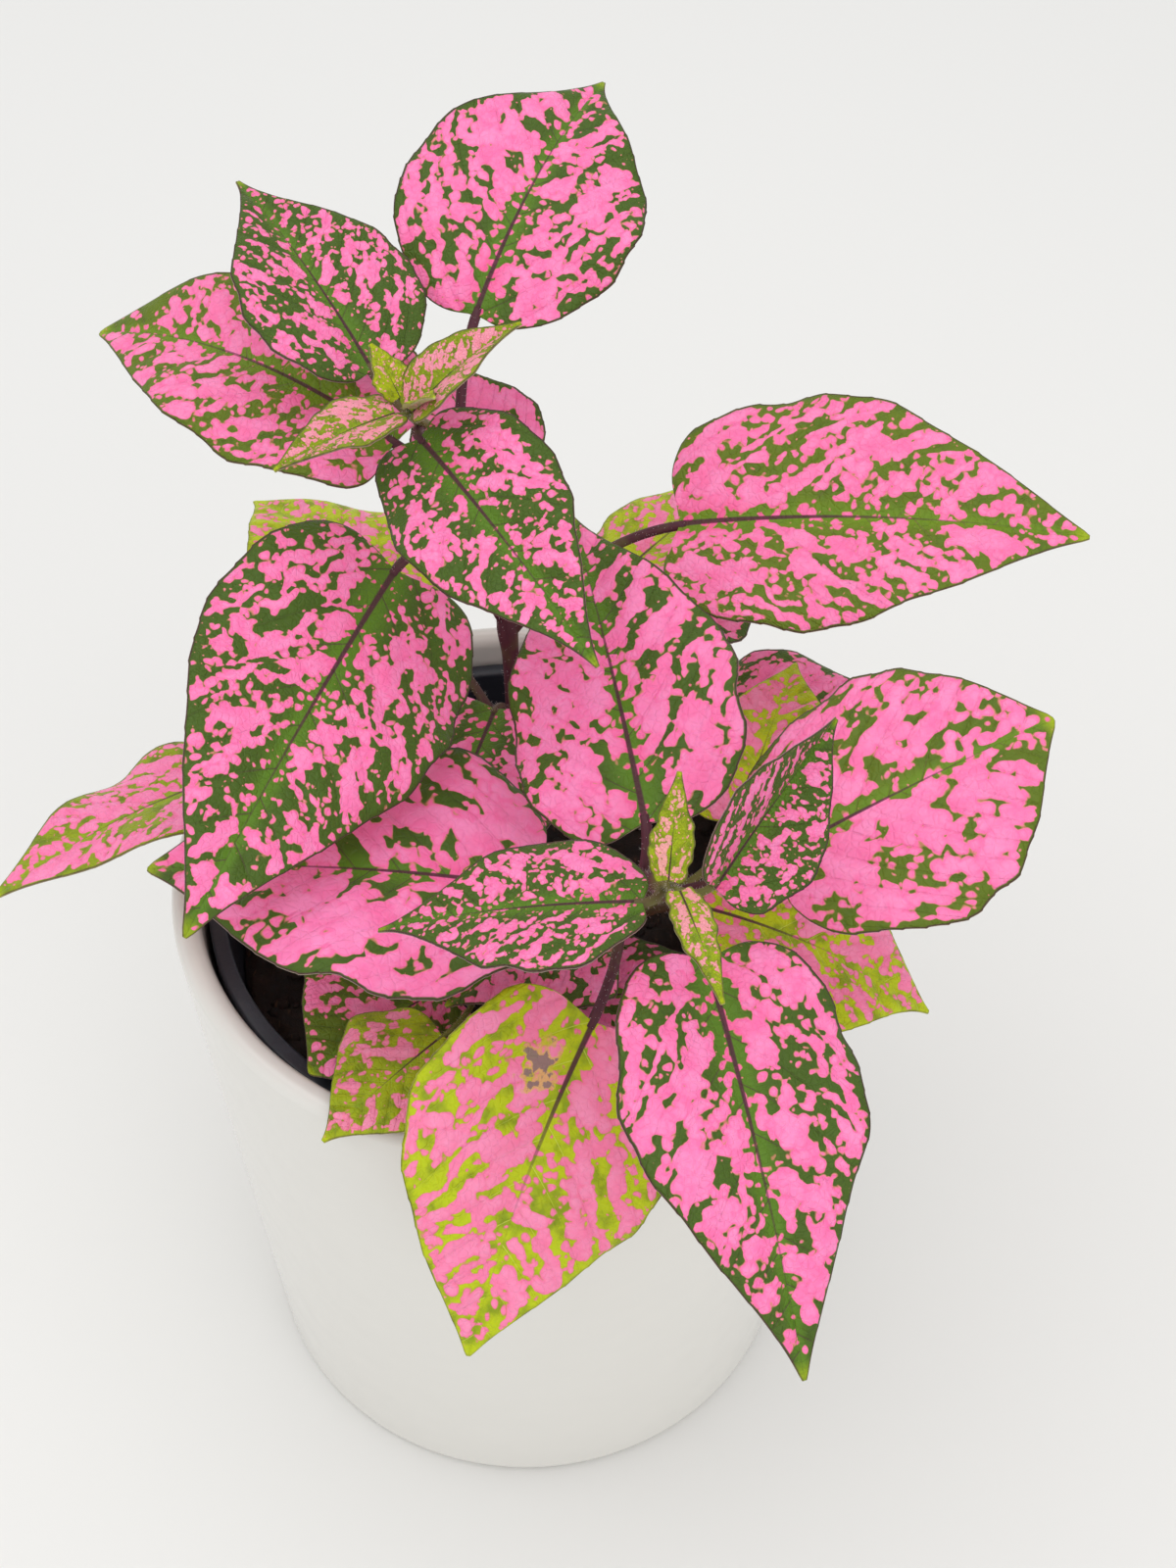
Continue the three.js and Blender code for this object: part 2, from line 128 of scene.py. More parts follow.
# A leaf's name starts with its stem's.
LEAVES = {
    # The tall stem
    "tall_1_left": Leaf(
        124, (-20, 53, 135), 135, 15, 34, 47, 36,
        roll=-14, fold=8, wave=1.3, phase=0.9, taper=1.6, pink=0.42, lime=1,
    ),
    "tall_1_front": Leaf(128, (-4, 24, 139), -106, 2, 26, 46, 34, wave=1, phase=0.9, pink=0.55),
    "tall_2_right": Leaf(
        148, (28, 38, 170), -11, 17, 19, 68, 44,
        roll=-19, fold=16, wave=1.3, phase=0.35, full=0.65, pink=0.63, spots=1.1, lime=0.15,
    ),
    "tall_2_front": Leaf(
        150, (-19, 17, 179), -113, -4, 11, 72, 43,
        roll=31, fold=5, wave=1.4, phase=0.45, taper=2.25, full=0.65, pink=0.56, spots=0.98,
    ),
    "tall_3_left": Leaf(
        184, (-19, 32, 193), 148, 20, 45, 63, 34,
        roll=18, fold=15, wave=1.8, phase=0.2, taper=1.8, full=0.6, pink=0.65, lime=0.15,
    ),
    "tall_3_back": Leaf(
        184, (-6, 50, 205), 64, 40, 42, 51, 40,
        roll=-11, fold=12, wave=1.6, phase=0.05, taper=1.6, full=0.9, pink=0.66,
    ),
    "tall_4_back": Leaf(
        199, (-22, 34, 206), 126, 32, 24, 41, 30,
        roll=-6, fold=18, wave=0.4, phase=0.35, taper=1.9, full=0.95, pink=0.46, spots=0.75,
    ),
    "tall_4_front": Leaf(
        199, (-13.5, 18.5, 205), -57, -2, 13, 50, 26,
        roll=-24, fold=15, wave=1.3, phase=0.95, taper=1.9, full=0.85, pink=0.53, spots=0.8,
    ),
    # The front stem
    "front_1_right": Leaf(
        118, (31, -16, 133), -15, -3, 35, 43, 40,
        roll=-4, phase=0.25, taper=1.75, full=0.9, pink=0.58, lime=1,
    ),
    "front_1_left": Leaf(118, (12, -19.5, 132), 216, 14, 26, 28, 29, wave=1, phase=0.6, pink=0.8),
    "front_2_front": Leaf(
        132, (13, -46, 142), -117, -21, 37, 56, 42,
        roll=33, wave=1.5, phase=0.5, taper=1.9, full=0.7, pink=0.63, spots=1.1, lime=1,
        scar=(10, -5.5, 6),
    ),
    "front_2_back": Leaf(
        132, (38, -3, 140), 72, 18, 25, 36, 26, roll=12, phase=0.6, pink=0.45, lime=1
    ),
    "front_3_left": Leaf(
        147, (4, -26, 150), 179, 13, 19, 61, 48,
        roll=2, fold=14, wave=2.2, phase=0.4, taper=1.7, full=0.6, pink=0.8, spots=1.4,
    ),
    "front_3_right": Leaf(
        147, (40, -31, 163), 19, 23, 8, 48, 43,
        roll=-10, fold=4, wave=0.9, phase=0.55, taper=1.25, full=0.55, pink=0.78, spots=1.3,
        lime=0.12,
    ),
    "front_4_back": Leaf(
        165, (21, -32, 173), 101, 20, 24, 61, 37,
        roll=23, fold=4, wave=1.9, phase=0.1, pink=0.7, spots=1.15,
    ),
    "front_4_front": Leaf(
        165, (29, -57, 172), -75, -16, 30, 60, 35,
        roll=9, fold=12, wave=1.6, phase=0.3, taper=2.1, full=0.75, pink=0.69,
    ),
    "front_5_left": Leaf(
        177, (20, -54, 181), 176, -5, 18, 39, 23,
        fold=12, wave=0.8, phase=0.45, taper=1.75, full=1, pink=0.52, spots=0.7,
    ),
    "front_5_right": Leaf(
        177, (30, -51, 181), 52, 23, 8, 31, 18,
        roll=-56, fold=36, wave=0.2, phase=0.95, full=0.85, pink=0.52, spots=0.6,
    ),
    # The low stem, under the others at the left and in front
    "low_1_front": Leaf(
        113, (-11, -41, 131), -139, -6, 14, 25, 26,
        roll=-3, fold=7, wave=0.9, full=0.9, pink=0.53, lime=0.7,
    ),
    "low_1_left": Leaf(
        113, (-12, -26, 124), -140, 7, 12, 27, 37,
        roll=5, fold=8, wave=0.6, phase=0.6, taper=1.7, full=0.6, pink=0.5, lime=0.1,
    ),
    "low_1_back": Leaf(116, (-24, 10, 126), 120, 22, 36, 44, 30, phase=0.5),
    "low_2_left": Leaf(
        124, (-40, 14, 136), -143, 23, 37, 57, 28,
        roll=-16, wave=2, phase=0.15, taper=1.9, full=0.6, pink=0.67, lime=0.5,
    ),
    "low_2_right": Leaf(120, (10, -26.5, 121), 0, 16, 26, 30, 22, phase=0.7, pink=0.7),
    # The rear stem
    "rear_1_back": Leaf(120, (19, 50, 129), 58, 12, 50, 44, 34, phase=0.5),
    "rear_1_right": Leaf(120, (30, 28, 127), 4, 32, 60, 44, 30, phase=0.4),
    "rear_2_right": Leaf(
        140, (16, 49, 145), 47, 11, 18, 43, 26,
        roll=10, fold=8, wave=0.7, phase=0.45, pink=0.5, lime=1,
    ),
    "rear_3_left": Leaf(
        158, (-2, 47, 170), 120, 29, 22, 30, 23,
        roll=5, fold=13, wave=0.4, taper=1.75, full=1, pink=0.8,
    ),
}

YOUNG_LEAVES = {
    "tall_5_back": Leaf(
        206, (-14, 17.5, 211), 27, 45, 30, 21, 10, fold=30, wave=0.3, pink=0.56, lime=0.5
    ),
    "tall_5_front": Leaf(
        206, (-17, 17, 211), -145, 8, 20, 21, 10, fold=25, wave=0.3, pink=0.56, lime=0.5
    ),
    "tall_6_back": Leaf(
        208, (-16.5, 20, 212), 130, 50, 16, 9, 5, fold=24, wave=0.3, pink=0.25, lime=0.9
    ),
    "tall_6_front": Leaf(
        208, (-14, 18, 212), -50, 50, 16, 7, 4, fold=24, wave=0.3, pink=0.2, lime=0.9
    ),
    "front_6_back": Leaf(
        183, (23.5, -55, 187.5), 82, 57, 20, 15, 5, fold=19, wave=0.3, pink=0.58, lime=0.65
    ),
    "front_6_front": Leaf(
        183, (25, -57, 187), -74, 9, 24, 19, 4.5, fold=17, wave=0.3, lime=0.65
    ),
}
YOUNG_SPOTS = 0.38  # size of the young leaves' patches
for young in YOUNG_LEAVES.values():
    young.spots = YOUNG_SPOTS


# ---- Settings ----

POT_HIGH = millimetres("ceramic_pot")[1]
NURSERY_LOW, NURSERY_HIGH = millimetres("nursery_pot")
SOIL_LOW, SOIL_HIGH = millimetres("potting_soil")


def setting(kind, name, description, default, **limits):
    return kind(name=name, description=description, default=default, **limits)


def length_setting(name, description, default):
    """A length, given in millimetres and kept in metres."""
    return setting(FloatProperty, name, description, default * MM, unit="LENGTH", precision=5)


def colour_setting(name, description, code):
    look = {"subtype": "COLOR", "size": 3, "min": 0, "max": 1}
    return setting(FloatVectorProperty, name, description, linear(code), **look)


class PotSettings(bpy.types.PropertyGroup):
    """Sizes and finishes of the ceramic pot, the nursery pot and the soil."""

    height: length_setting("Height", "Height of the ceramic pot", POT_HIGH.z)
    rim_radius: length_setting("Rim Radius", "Outer radius of the ceramic pot's lip", POT_HIGH.x)
    base_radius: length_setting("Base Radius", "Outer radius of the ceramic pot's foot", 52.5)
    wall: length_setting("Wall", "Thickness of the ceramic", 4.8)
    floor: length_setting("Floor", "Thickness of the ceramic pot's floor", 7)
    foot_rounding: length_setting("Foot Rounding", "Radius of the rounded edge at the foot", 3)
    glaze: colour_setting("Glaze", "Colour of the ceramic pot's glaze", "e4e2dc")
    # The nursery pot's blue-grey tint is painted sheen on near-black plastic.
    plastic: colour_setting("Plastic", "Colour of the nursery pot", "2a2d36")
    compost: colour_setting("Compost", "Colour of the potting soil", "2e221a")


class LeafSettings(bpy.types.PropertyGroup):
    """Thickness, relief and colours of the leaves."""

    thickness: length_setting("Thickness", "Thickness of a blade between its veins", 0.45)
    quilting: length_setting("Quilting", "How far the blade swells between its side veins", 0.55)
    rib_height: length_setting("Rib Height", "How far the midrib stands out under the base", 1.0)
    rows: setting(IntProperty, "Rows", "Faces from a blade's base to its tip", 150, min=12)
    columns: setting(IntProperty, "Columns", "Faces from the midrib to each margin", 18, min=3)
    pink: colour_setting("Pink", "Colour of the pink patches", "fd71ac")
    pale_pink: colour_setting("Pale Pink", "Lighter colour within the pink patches", "ff8ec2")
    green: colour_setting("Green", "Colour of the green of a grown leaf", "415710")
    bright_green: colour_setting("Bright Green", "Colour of the green by the midrib", "577c14")
    lime: colour_setting("Lime", "Green of the old, shaded and youngest leaves", "bccb08")
    rim: colour_setting("Patch Rim", "Colour of the thin line round each patch", "d2876c")
    vein: colour_setting("Vein", "Colour of the veins and the leaf's edge", "4e2531")


class StemSettings(bpy.types.PropertyGroup):
    """Colours and hairs of the stems and leaf stalks."""

    purple: colour_setting("Purple", "Colour of the stems and stalks", "4d2430")
    green: colour_setting("Green", "Colour of the stems' young tops", "7b8a35")
    hair_length: length_setting("Hair Length", "Length of the fine hairs", 0.75)
    hairs_per_mm: setting(FloatProperty, "Hairs per mm", "How close the hairs stand", 6, min=0)


class StageSettings(bpy.types.PropertyGroup):
    """Floor, lights and camera."""

    floor: colour_setting("Floor", "Colour of the floor", "ecebe8")
    key_power: setting(FloatProperty, "Key Power", "Power of the large light", 6.5, unit="POWER")
    sky_strength: setting(FloatProperty, "Sky Strength", "Strength of the even light", 0.78)
    focal_length: setting(FloatProperty, "Focal Length", "Length of the lens", 54, unit="CAMERA")


# ---- Shader helpers ----


class Graph:
    """Adds linked nodes to a material or a node group. A value is a number, colour or socket."""

    def __init__(self, tree):
        self.tree = tree

    def node(self, kind, inputs=(), **settings):
        made = self.tree.nodes.new(kind)
        for name, value in settings.items():
            setattr(made, name, value)
        self.fill(made.inputs, dict(inputs))
        return made

    def fill(self, sockets, values):
        """Links or sets each of the named sockets."""
        for name, value in values.items():
            socket = sockets[name]
            if isinstance(value, bpy.types.NodeSocket):
                self.tree.links.new(value, socket)
            elif socket.type == "RGBA":
                socket.default_value = (*value, 1)  # from red, green and blue
            else:
                socket.default_value = value

    def math(self, operation, first, second=0, third=0):
        inputs = {0: first, 1: second, 2: third}
        return self.node("ShaderNodeMath", inputs, operation=operation).outputs[0]

    def add(self, *values):
        total = values[0]
        for value in values[1:]:
            total = self.math("ADD", total, value)
        return total

    def minus(self, first, second):
        return self.math("SUBTRACT", first, second)

    def times(self, first, second):
        return self.math("MULTIPLY", first, second)

    def times_add(self, first, second, third):
        return self.math("MULTIPLY_ADD", first, second, third)

    def smooth(self, value, start, end, low=0, high=1):
        """Runs smoothly from low to high as the value goes from start to end."""
        inputs = {"Value": value, "From Min": start, "From Max": end, "To Min": low, "To Max": high}
        return self.node("ShaderNodeMapRange", inputs, interpolation_type="SMOOTHSTEP").outputs[0]

    def vector(self, x, y, z=0):
        return self.node("ShaderNodeCombineXYZ", {0: x, 1: y, 2: z}).outputs[0]

    def parts(self, vector):
        return self.node("ShaderNodeSeparateXYZ", {0: vector}).outputs[:3]

    def stretch(self, vector, *factors):
        """The vector with each part multiplied by a factor of its own."""
        return self.vector(*map(self.times, self.parts(vector), factors))

    def attribute(self, name, output="Vector"):
        return self.node("ShaderNodeAttribute", attribute_name=name).outputs[output]

    def coordinates(self):
        return self.node("ShaderNodeTexCoord").outputs["Object"]

    def noise(self, vector, scale=1, detail=2, roughness=0.5):
        inputs = {"Vector": vector, "Scale": scale, "Detail": detail, "Roughness": roughness}
        return self.node("ShaderNodeTexNoise", inputs).outputs["Fac"]

    def drift(self, vector, scale):
        """Two smooth random numbers about zero that change over a flat surface."""
        inputs = {"Vector": vector, "Scale": scale, "Detail": 0}
        colour = self.node("ShaderNodeTexNoise", inputs, noise_dimensions="2D").outputs["Color"]
        inputs = {0: colour, 1: (0.5, 0.5, 0.5)}
        centred = self.node("ShaderNodeVectorMath", inputs, operation="SUBTRACT").outputs[0]
        return self.parts(centred)

    def cells(self, vector, scale, softness, shift=0):
        """Round cells of irregular size on a flat surface: their distance and their colour."""
        inputs = {0: vector, 1: self.vector(shift, shift)}
        moved = self.node("ShaderNodeVectorMath", inputs, operation="ADD").outputs[0]
        inputs = {"Vector": moved, "Scale": scale, "Smoothness": softness}
        kind = {"feature": "SMOOTH_F1", "voronoi_dimensions": "2D"}
        made = self.node("ShaderNodeTexVoronoi", inputs, **kind).outputs
        return made["Distance"], made["Color"]

    def coats(self, colour, *coats):
        """The colour under coats of others, each given as a mask and its colour."""
        for mask, coat in coats:
            inputs = {0: mask, 6: colour, 7: coat}
            colour = self.node("ShaderNodeMix", inputs, data_type="RGBA").outputs[2]
        return colour

    def bump(self, height, distance):
        """A Bump node's normal. Height is in the units of the distance, in metres."""
        return self.node("ShaderNodeBump", {"Height": height, "Distance": distance}).outputs[0]


def new_material(name, look, *args):
    """A material whose shader inputs are what the look function makes for them."""
    material = bpy.data.materials.new(name)
    material.use_nodes = True
    g = Graph(material.node_tree)
    shader = next(node for node in g.tree.nodes if node.type == "BSDF_PRINCIPLED")
    g.fill(shader.inputs, look(g, *args))
    return material


def new_group(name, inputs, outputs):
    """A node group with sockets of the given kinds: returns its tree, graph, inputs and outputs."""
    tree = bpy.data.node_groups.new(name, "ShaderNodeTree")
    for names, direction in ((inputs, "INPUT"), (outputs, "OUTPUT")):
        for socket, kind in names.items():
            tree.interface.new_socket(socket, in_out=direction, socket_type="NodeSocket" + kind)
    start = tree.nodes.new("NodeGroupInput")
    end = tree.nodes.new("NodeGroupOutput")
    return tree, Graph(tree), start.outputs, end.inputs


# ---- Materials ----

DEEP_PINK = linear("e83a7c")  # of patches beside the midrib's base
FADED_PINK = linear("fbb9a4")  # of young and lime leaves
LIME_VEIN = linear("cfdc5a")  # of side veins on lime leaves
# paler colour of the underside: partly its own, partly a painted glow of light through the blade
UNDERSIDE_AND_GLOW = linear("ddcdb6")
SCAR_HALO = linear("d9c04a")
SCAR_BROWN = linear("8d7276")

# The patches. Places on a blade are counted in patch sizes, which are near a millimetre.
VEIN_SHIFT = 0.35  # how far the left veins stand from the right ones, in spacings
SIDE_SEED = 61  # sets the patterns of a leaf's two sides apart
SWAY_SCALE, BAND_SWAY = 0.2, 6  # how finely and how far the bands of patches wander
BANDS_ACROSS, BANDS_ALONG = 0.25, 0.105  # how close the bands lie, and how often they break
BAND_GAIN = 3.9  # how strongly bands draw the pink together
CLUMP_SCALE, CLUMP_GAIN = 0.22, 1.6  # the same for the looser clumps
PINK_GAIN, PINK_START = 1.42, -0.82  # the level of the pink for the share of a leaf that is pink
JITTER_SCALE, JITTER = 0.6, 0.9  # unevenness of the blobs' shapes
LOBE_SCALE, LOBE_SOFTNESS = 0.54, 0.3  # the blobs that run together as patches
LOBE_START, LOBE_FALL = 0.66, -1.35
DOT_SCALE, DOT_SOFTNESS = 0.62, 0.05  # the blobs that stand alone as dots
DOT_START, DOT_RANGE = -0.27, 0.72
DOT_TIDE = 0.16  # how much larger dots are near patches
DOT_SHIFT = 40  # sets the dots apart from the lobes


def leaf_pattern():
    """The markings of a blade, for both leaf materials.

    It reads six attributes of the blade. `lie` is the place across and along the side veins and
    the vein's number, and `flat` the place along the blade and from its midrib, both in patch
    sizes, and the leaf's seed. `place` is the share from base to tip and the distances from the
    midrib (negative on the right) and from the margin in millimetres. `habit` is the share that
    is pink, how lime the leaf is and its size. `under` is 1 on the underside, and `scar` rises
    to 1 at the middle of a dry patch.
    """
    colours = ("Pink", "Pale Pink", "Green", "Bright Green", "Lime", "Rim", "Vein")
    tree, g, given, result = new_group(
        "Leaf Pattern",
        dict.fromkeys(colours, "Color"),
        {"Color": "Color", "Roughness": "Float", "Height": "Float"},
    )
    flat = g.attribute("flat")
    x, y, seed = g.parts(flat)
    across, along, number = g.parts(g.attribute("lie"))
    share, out, edge = g.parts(g.attribute("place"))
    pinkness, lime, size = g.parts(g.attribute("habit"))
    under, scar = g.attribute("under", "Fac"), g.attribute("scar", "Fac")
    left = g.math("GREATER_THAN", out, 0)
    from_rib = g.math("ABSOLUTE", out)
    to_base = g.minus(1, share)
    vein_side = g.math("PINGPONG", g.times_add(left, VEIN_SHIFT, number), 0.5)
    rib_zone = g.math("DIVIDE", from_rib, g.times(g.times_add(to_base, 3.2, 0.8), size))

    # Patches lie along the side veins in broken bands. Their edges are lobed, as if round blobs
    # had run together, and single blobs stand round them in the green as dots.
    moved = g.add(x, seed)
    spread = g.vector(moved, y)
    sway = g.drift(spread, SWAY_SCALE)
    jitter = g.drift(spread, JITTER_SCALE)
    side_seed = g.times_add(left, SIDE_SEED, seed)
    band_across = g.times(g.times_add(sway[0], BAND_SWAY, across), BANDS_ACROSS)
    band_along = g.times(g.times_add(sway[1], BAND_SWAY, along), BANDS_ALONG)
    bands = g.noise(g.vector(g.add(band_across, side_seed), band_along), 1, 1)
    clumps = g.noise(g.vector(g.add(x, side_seed), y), CLUMP_SCALE, 0)
    shyness = g.add(
        g.smooth(vein_side, 0, 0.2, 0.16, 0),
        g.smooth(rib_zone, 0.1, 1, 0.62, 0),
        g.smooth(edge, 0.2, 1.8, 0.5, 0),
        g.smooth(share, 0.94, 1, 0, 0.9),
    )
    tide = g.add(
        g.times(g.minus(bands, 0.5), BAND_GAIN),
        g.times(g.minus(clumps, 0.5), CLUMP_GAIN),
        g.times_add(pinkness, PINK_GAIN, PINK_START),
    )
    tide = g.minus(tide, shyness)
    place = g.vector(g.times_add(jitter[0], JITTER, moved), g.times_add(jitter[1], JITTER, y))
    distance, _ = g.cells(place, LOBE_SCALE, LOBE_SOFTNESS)
    large = g.times_add(distance, LOBE_FALL, g.add(tide, LOBE_START))
    distance, luck = g.cells(place, DOT_SCALE, DOT_SOFTNESS, g.add(seed, DOT_SHIFT))
    dot_size = g.times_add(g.parts(luck)[0], DOT_RANGE, DOT_START)
    small = g.minus(g.times_add(tide, DOT_TIDE, dot_size), distance)
    level = g.math("MAXIMUM", large, small)
    clear = g.smooth(edge, 0.3, 0.55)
    pink_mask = g.times(g.smooth(level, -0.015, 0.02), clear)
    rim_mask = g.times(g.smooth(level, -0.085, -0.012), g.smooth(level, 0.014, 0.085, 1, 0))
    rim_mask = g.times(rim_mask, clear)

    # Pink is paler within the large patches, and green brighter beside the midrib.
    cloud = g.noise(flat, 0.3, 3)
    speck = g.noise(flat, 1.5, 3, 0.6)
    deep = g.smooth(level, 0.05, 0.5)
    pale = g.times(g.smooth(g.times_add(speck, 0.25, cloud), 0.35, 0.85), deep)
    at_base = g.smooth(rib_zone, 0, 1.3, g.smooth(share, 0.05, 0.45, 0.6, 0), 0)
    faded = g.times_add(lime, 0.15, g.smooth(size, 0.2, 0.5, 0.7, 0))
    pink = g.coats(
        given["Pink"], (pale, given["Pale Pink"]), (at_base, DEEP_PINK), (faded, FADED_PINK)
    )
    bright = g.times_add(cloud, 0.3, g.smooth(rib_zone, 0.2, 1.6, 0.8, 0))
    at_tip = g.smooth(share, 0.955, 1.01, 0, 0.5)
    clouded = g.times_add(lime, g.smooth(cloud, 0.42, 0.72, 1, 0.42), at_tip)
    lime_share = g.math("MINIMUM", clouded, 1)
    green = g.coats(given["Green"], (bright, given["Bright Green"]), (lime_share, given["Lime"]))

    # The midrib thins to the tip, and the side veins fade in the pink and to the margin.
    near_rib = g.smooth(rib_zone, 0.3, 3.5, 0.95, 0.22)
    side_vein = g.times(g.smooth(vein_side, 0, 0.026, 1, 0), near_rib)
    side_vein = g.times(side_vein, g.times_add(pink_mask, -0.72, 0.8))
    rib_width = g.times(g.times_add(g.math("POWER", to_base, 1.8), 0.55, 0.09), size)
    rib = g.smooth(g.math("DIVIDE", from_rib, rib_width), 0.6, 1.15, 1, 0)
    rib = g.times(rib, g.smooth(share, 0.3, 0.95, 0.95, 0.15))
    rib = g.times(rib, g.times_add(lime, g.smooth(share, 0.15, 0.6, 0, -0.75), 1))
    purple = g.times(g.smooth(edge, 0.08, 0.34, 0.85, 0), g.times_add(lime_share, -0.5, 1))

    # A dry patch is brown with a yellow halo.
    ragged = g.times_add(g.minus(g.noise(flat, 0.5, 3), 0.5), 2.6, scar)
    hurt = g.smooth(scar, 0, 0.1)
    colour = g.coats(
        green,
        (pink_mask, pink),
        (g.times(rim_mask, 0.7), given["Rim"]),
        (side_vein, g.coats(given["Vein"], (lime, LIME_VEIN))),
        (rib, given["Vein"]),
        (purple, given["Vein"]),
        # the underside is paled, partly its own colour and partly a painted glow of light through
        # the blade
        (g.times(under, 0.5), UNDERSIDE_AND_GLOW),
        (g.times(hurt, g.smooth(ragged, 0.42, 0.6, 0, 0.7)), SCAR_HALO),
        (g.times(hurt, g.smooth(ragged, 0.68, 0.8, 0, 0.9)), SCAR_BROWN),
    )

    # A fine net of veins is sunk a little into the upper face.
    net = g.node("ShaderNodeTexVoronoi", {"Vector": flat, "Scale": 0.9}, feature="DISTANCE_TO_EDGE")
    net_height = g.smooth(net.outputs["Distance"], 0, 0.2)
    grain = g.noise(flat, 4.5, 2)
    groove = g.smooth(vein_side, 0, 0.06, 0, 0.45)
    height = g.add(g.times(net_height, 0.5), g.times(grain, 0.3), groove)
    roughness = g.add(0.42, g.times(speck, 0.16), g.times(under, 0.2), g.times(rib, 0.1))
    g.fill(result, {"Color": colour, "Roughness": roughness, "Height": height})
    return tree


def leaf_look(g, pattern, settings):
    """A satin leaf with the pattern's markings and fine relief."""
    marks = g.node("ShaderNodeGroup", node_tree=pattern)
    for socket in marks.inputs:
        field = socket.name.lower().replace(" ", "_")
        socket.default_value = (*getattr(settings, field), 1)
    return {
        "Base Color": marks.outputs["Color"],
        "Roughness": marks.outputs["Roughness"],
        "Normal": g.bump(marks.outputs["Height"], 0.00018),
        "Specular IOR Level": 0.3,
        "Subsurface Weight": 0.12,
        "Subsurface Radius": (0.8, 0.5, 0.25),
        "Subsurface Scale": 0.0008,
        "Sheen Weight": 0.05,
        "Sheen Roughness": 0.4,
    }


def stem_look(g, settings):
    """Purple skin with green showing through near the top, faintly ribbed along the stem, with
    painted highlights along its streaks.
    """
    streaks = g.noise(g.stretch(g.attribute("skin"), 2.4, 2.4, 0.16), 1, 3, 0.6)
    blotches = g.smooth(g.noise(g.coordinates(), 160, 3), 0.45, 0.75, 0, 0.3)
    young = g.times(g.attribute("youth", "Fac"), 0.95)
    green_share = g.math("MINIMUM", g.add(blotches, young), 1)
    # The paler streak colour is a painted highlight along the stem.
    painted_streak_highlights = g.smooth(streaks, 0.35, 0.8, 0, 0.35), linear("6f3a45")
    return {
        "Base Color": g.coats(settings.purple, (green_share, settings.green), painted_streak_highlights),
        "Roughness": g.times_add(streaks, 0.2, 0.45),
        "Normal": g.bump(streaks, 0.00012),
        "Specular IOR Level": 0.3,
        "Subsurface Weight": 0.08,
        "Subsurface Scale": 0.0008,
    }


def hair_look(g):
    """Clear pale hairs."""
    tint = g.noise(g.coordinates(), 900)
    return {"Base Color": g.coats(linear("e9d3d8"), (tint, linear("f6efe9"))), "Roughness": 0.5}


def glaze_look(g, settings):
    """Smooth off-white glaze that is a little duller and warmer in places, with faint specks."""
    place = g.coordinates()
    drift = g.noise(place, 14, 3)
    ripple = g.noise(place, 55, 2)
    dull = g.times(drift, 0.35), linear("dcd8d1")
    specks = g.times(g.smooth(g.noise(place, 900, 2), 0.72, 0.8), 0.05), linear("b9b0a6")
    return {
        "Base Color": g.coats(settings.glaze, dull, specks),
        "Roughness": g.times_add(drift, 0.1, 0.13),
        "Normal": g.bump(g.add(ripple, g.times(drift, 1.5)), 0.0002),
        "Specular IOR Level": 0.4,
        "Coat Weight": 0.2,
        "Coat Roughness": 0.06,
    }


def plastic_look(g, settings):
    """Black moulded plastic with a grained satin skin, a blue-grey tint of painted sheen, and paler
    patches that are partly dust and partly painted sheen.
    """
    place = g.coordinates()
    grain = g.noise(place, 1500, 2)
    # Paler blue-grey patches: partly dust, partly painted sheen.
    dust_and_sheen = g.smooth(g.noise(place, 60, 4, 0.65), 0.5, 0.8, 0, 0.35)
    return {
        "Base Color": g.coats(settings.plastic, (dust_and_sheen, linear("585c66"))),
        "Roughness": g.add(0.26, g.times(grain, 0.14), g.times(dust_and_sheen, 0.6)),
        "Normal": g.bump(grain, 0.00008),
    }


def soil_look(g, settings):
    """Dark damp compost with paler fibres."""
    place = g.coordinates()
    clods = g.noise(place, 260, 5, 0.7)
    fibres = g.noise(g.stretch(place, 900, 240, 240), 1, 3)
    light_clods = g.smooth(clods, 0.35, 0.7), settings.compost
    light_fibres = g.smooth(fibres, 0.62, 0.74, 0, 0.55), linear("6a4c35")
    return {
        "Base Color": g.coats(linear("17100c"), light_clods, light_fibres),
        "Roughness": g.smooth(clods, 0.3, 0.7, 0.7, 0.95),
        "Normal": g.bump(g.add(clods, g.times(fibres, 0.4)), 0.0009),
    }


def floor_look(g, settings):
    """Plain pale studio floor."""
    drift = g.times(g.noise(g.coordinates(), 1.3, 2), 0.4)
    colour = g.coats(settings.floor, (drift, linear("e7e5e3")))
    return {"Base Color": colour, "Roughness": 0.85, "Specular IOR Level": 0.2}


# ---- Mesh helpers ----


def to_mesh(name, bm, scale=MM):
    """A mesh from a bmesh, which is freed. The bmesh is in millimetres, unless the scale is 1."""
    bmesh.ops.scale(bm, vec=(scale, scale, scale), verts=bm.verts)
    mesh = bpy.data.meshes.new(name)
    bm.to_mesh(mesh)
    bm.free()
    return mesh


def to_object(name, data):
    """An object for a mesh, a light or a camera, linked to the scene."""
    made = bpy.data.objects.new(name, data)
    bpy.context.scene.collection.objects.link(made)
    return made


def add_piece(name, bm, material, slot, *nodes):
    """Makes a smooth piece from a bmesh in millimetres, in place of the given solids."""
    mesh = to_mesh(name, bm)
    mesh.materials.append(material)
    mesh.shade_smooth()
    piece = to_object(name, mesh)
    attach(piece, "root")
    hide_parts(*nodes)
    return piece


def arc(radius, height, size, start, end, steps):
    """Points of a round corner of a profile, as (radius, height), from one angle to another."""
    points = []
    for step in range(steps + 1):
        angle = math.radians(mix(start, end, step / steps))
        points.append((radius + size * math.cos(angle), height + size * math.sin(angle)))
    return points


def straight(start, end, shares):
    """Points of a straight part of a profile, at the given shares of the way along it."""
    return [(mix(start[0], end[0], share), mix(start[1], end[1], share)) for share in shares]


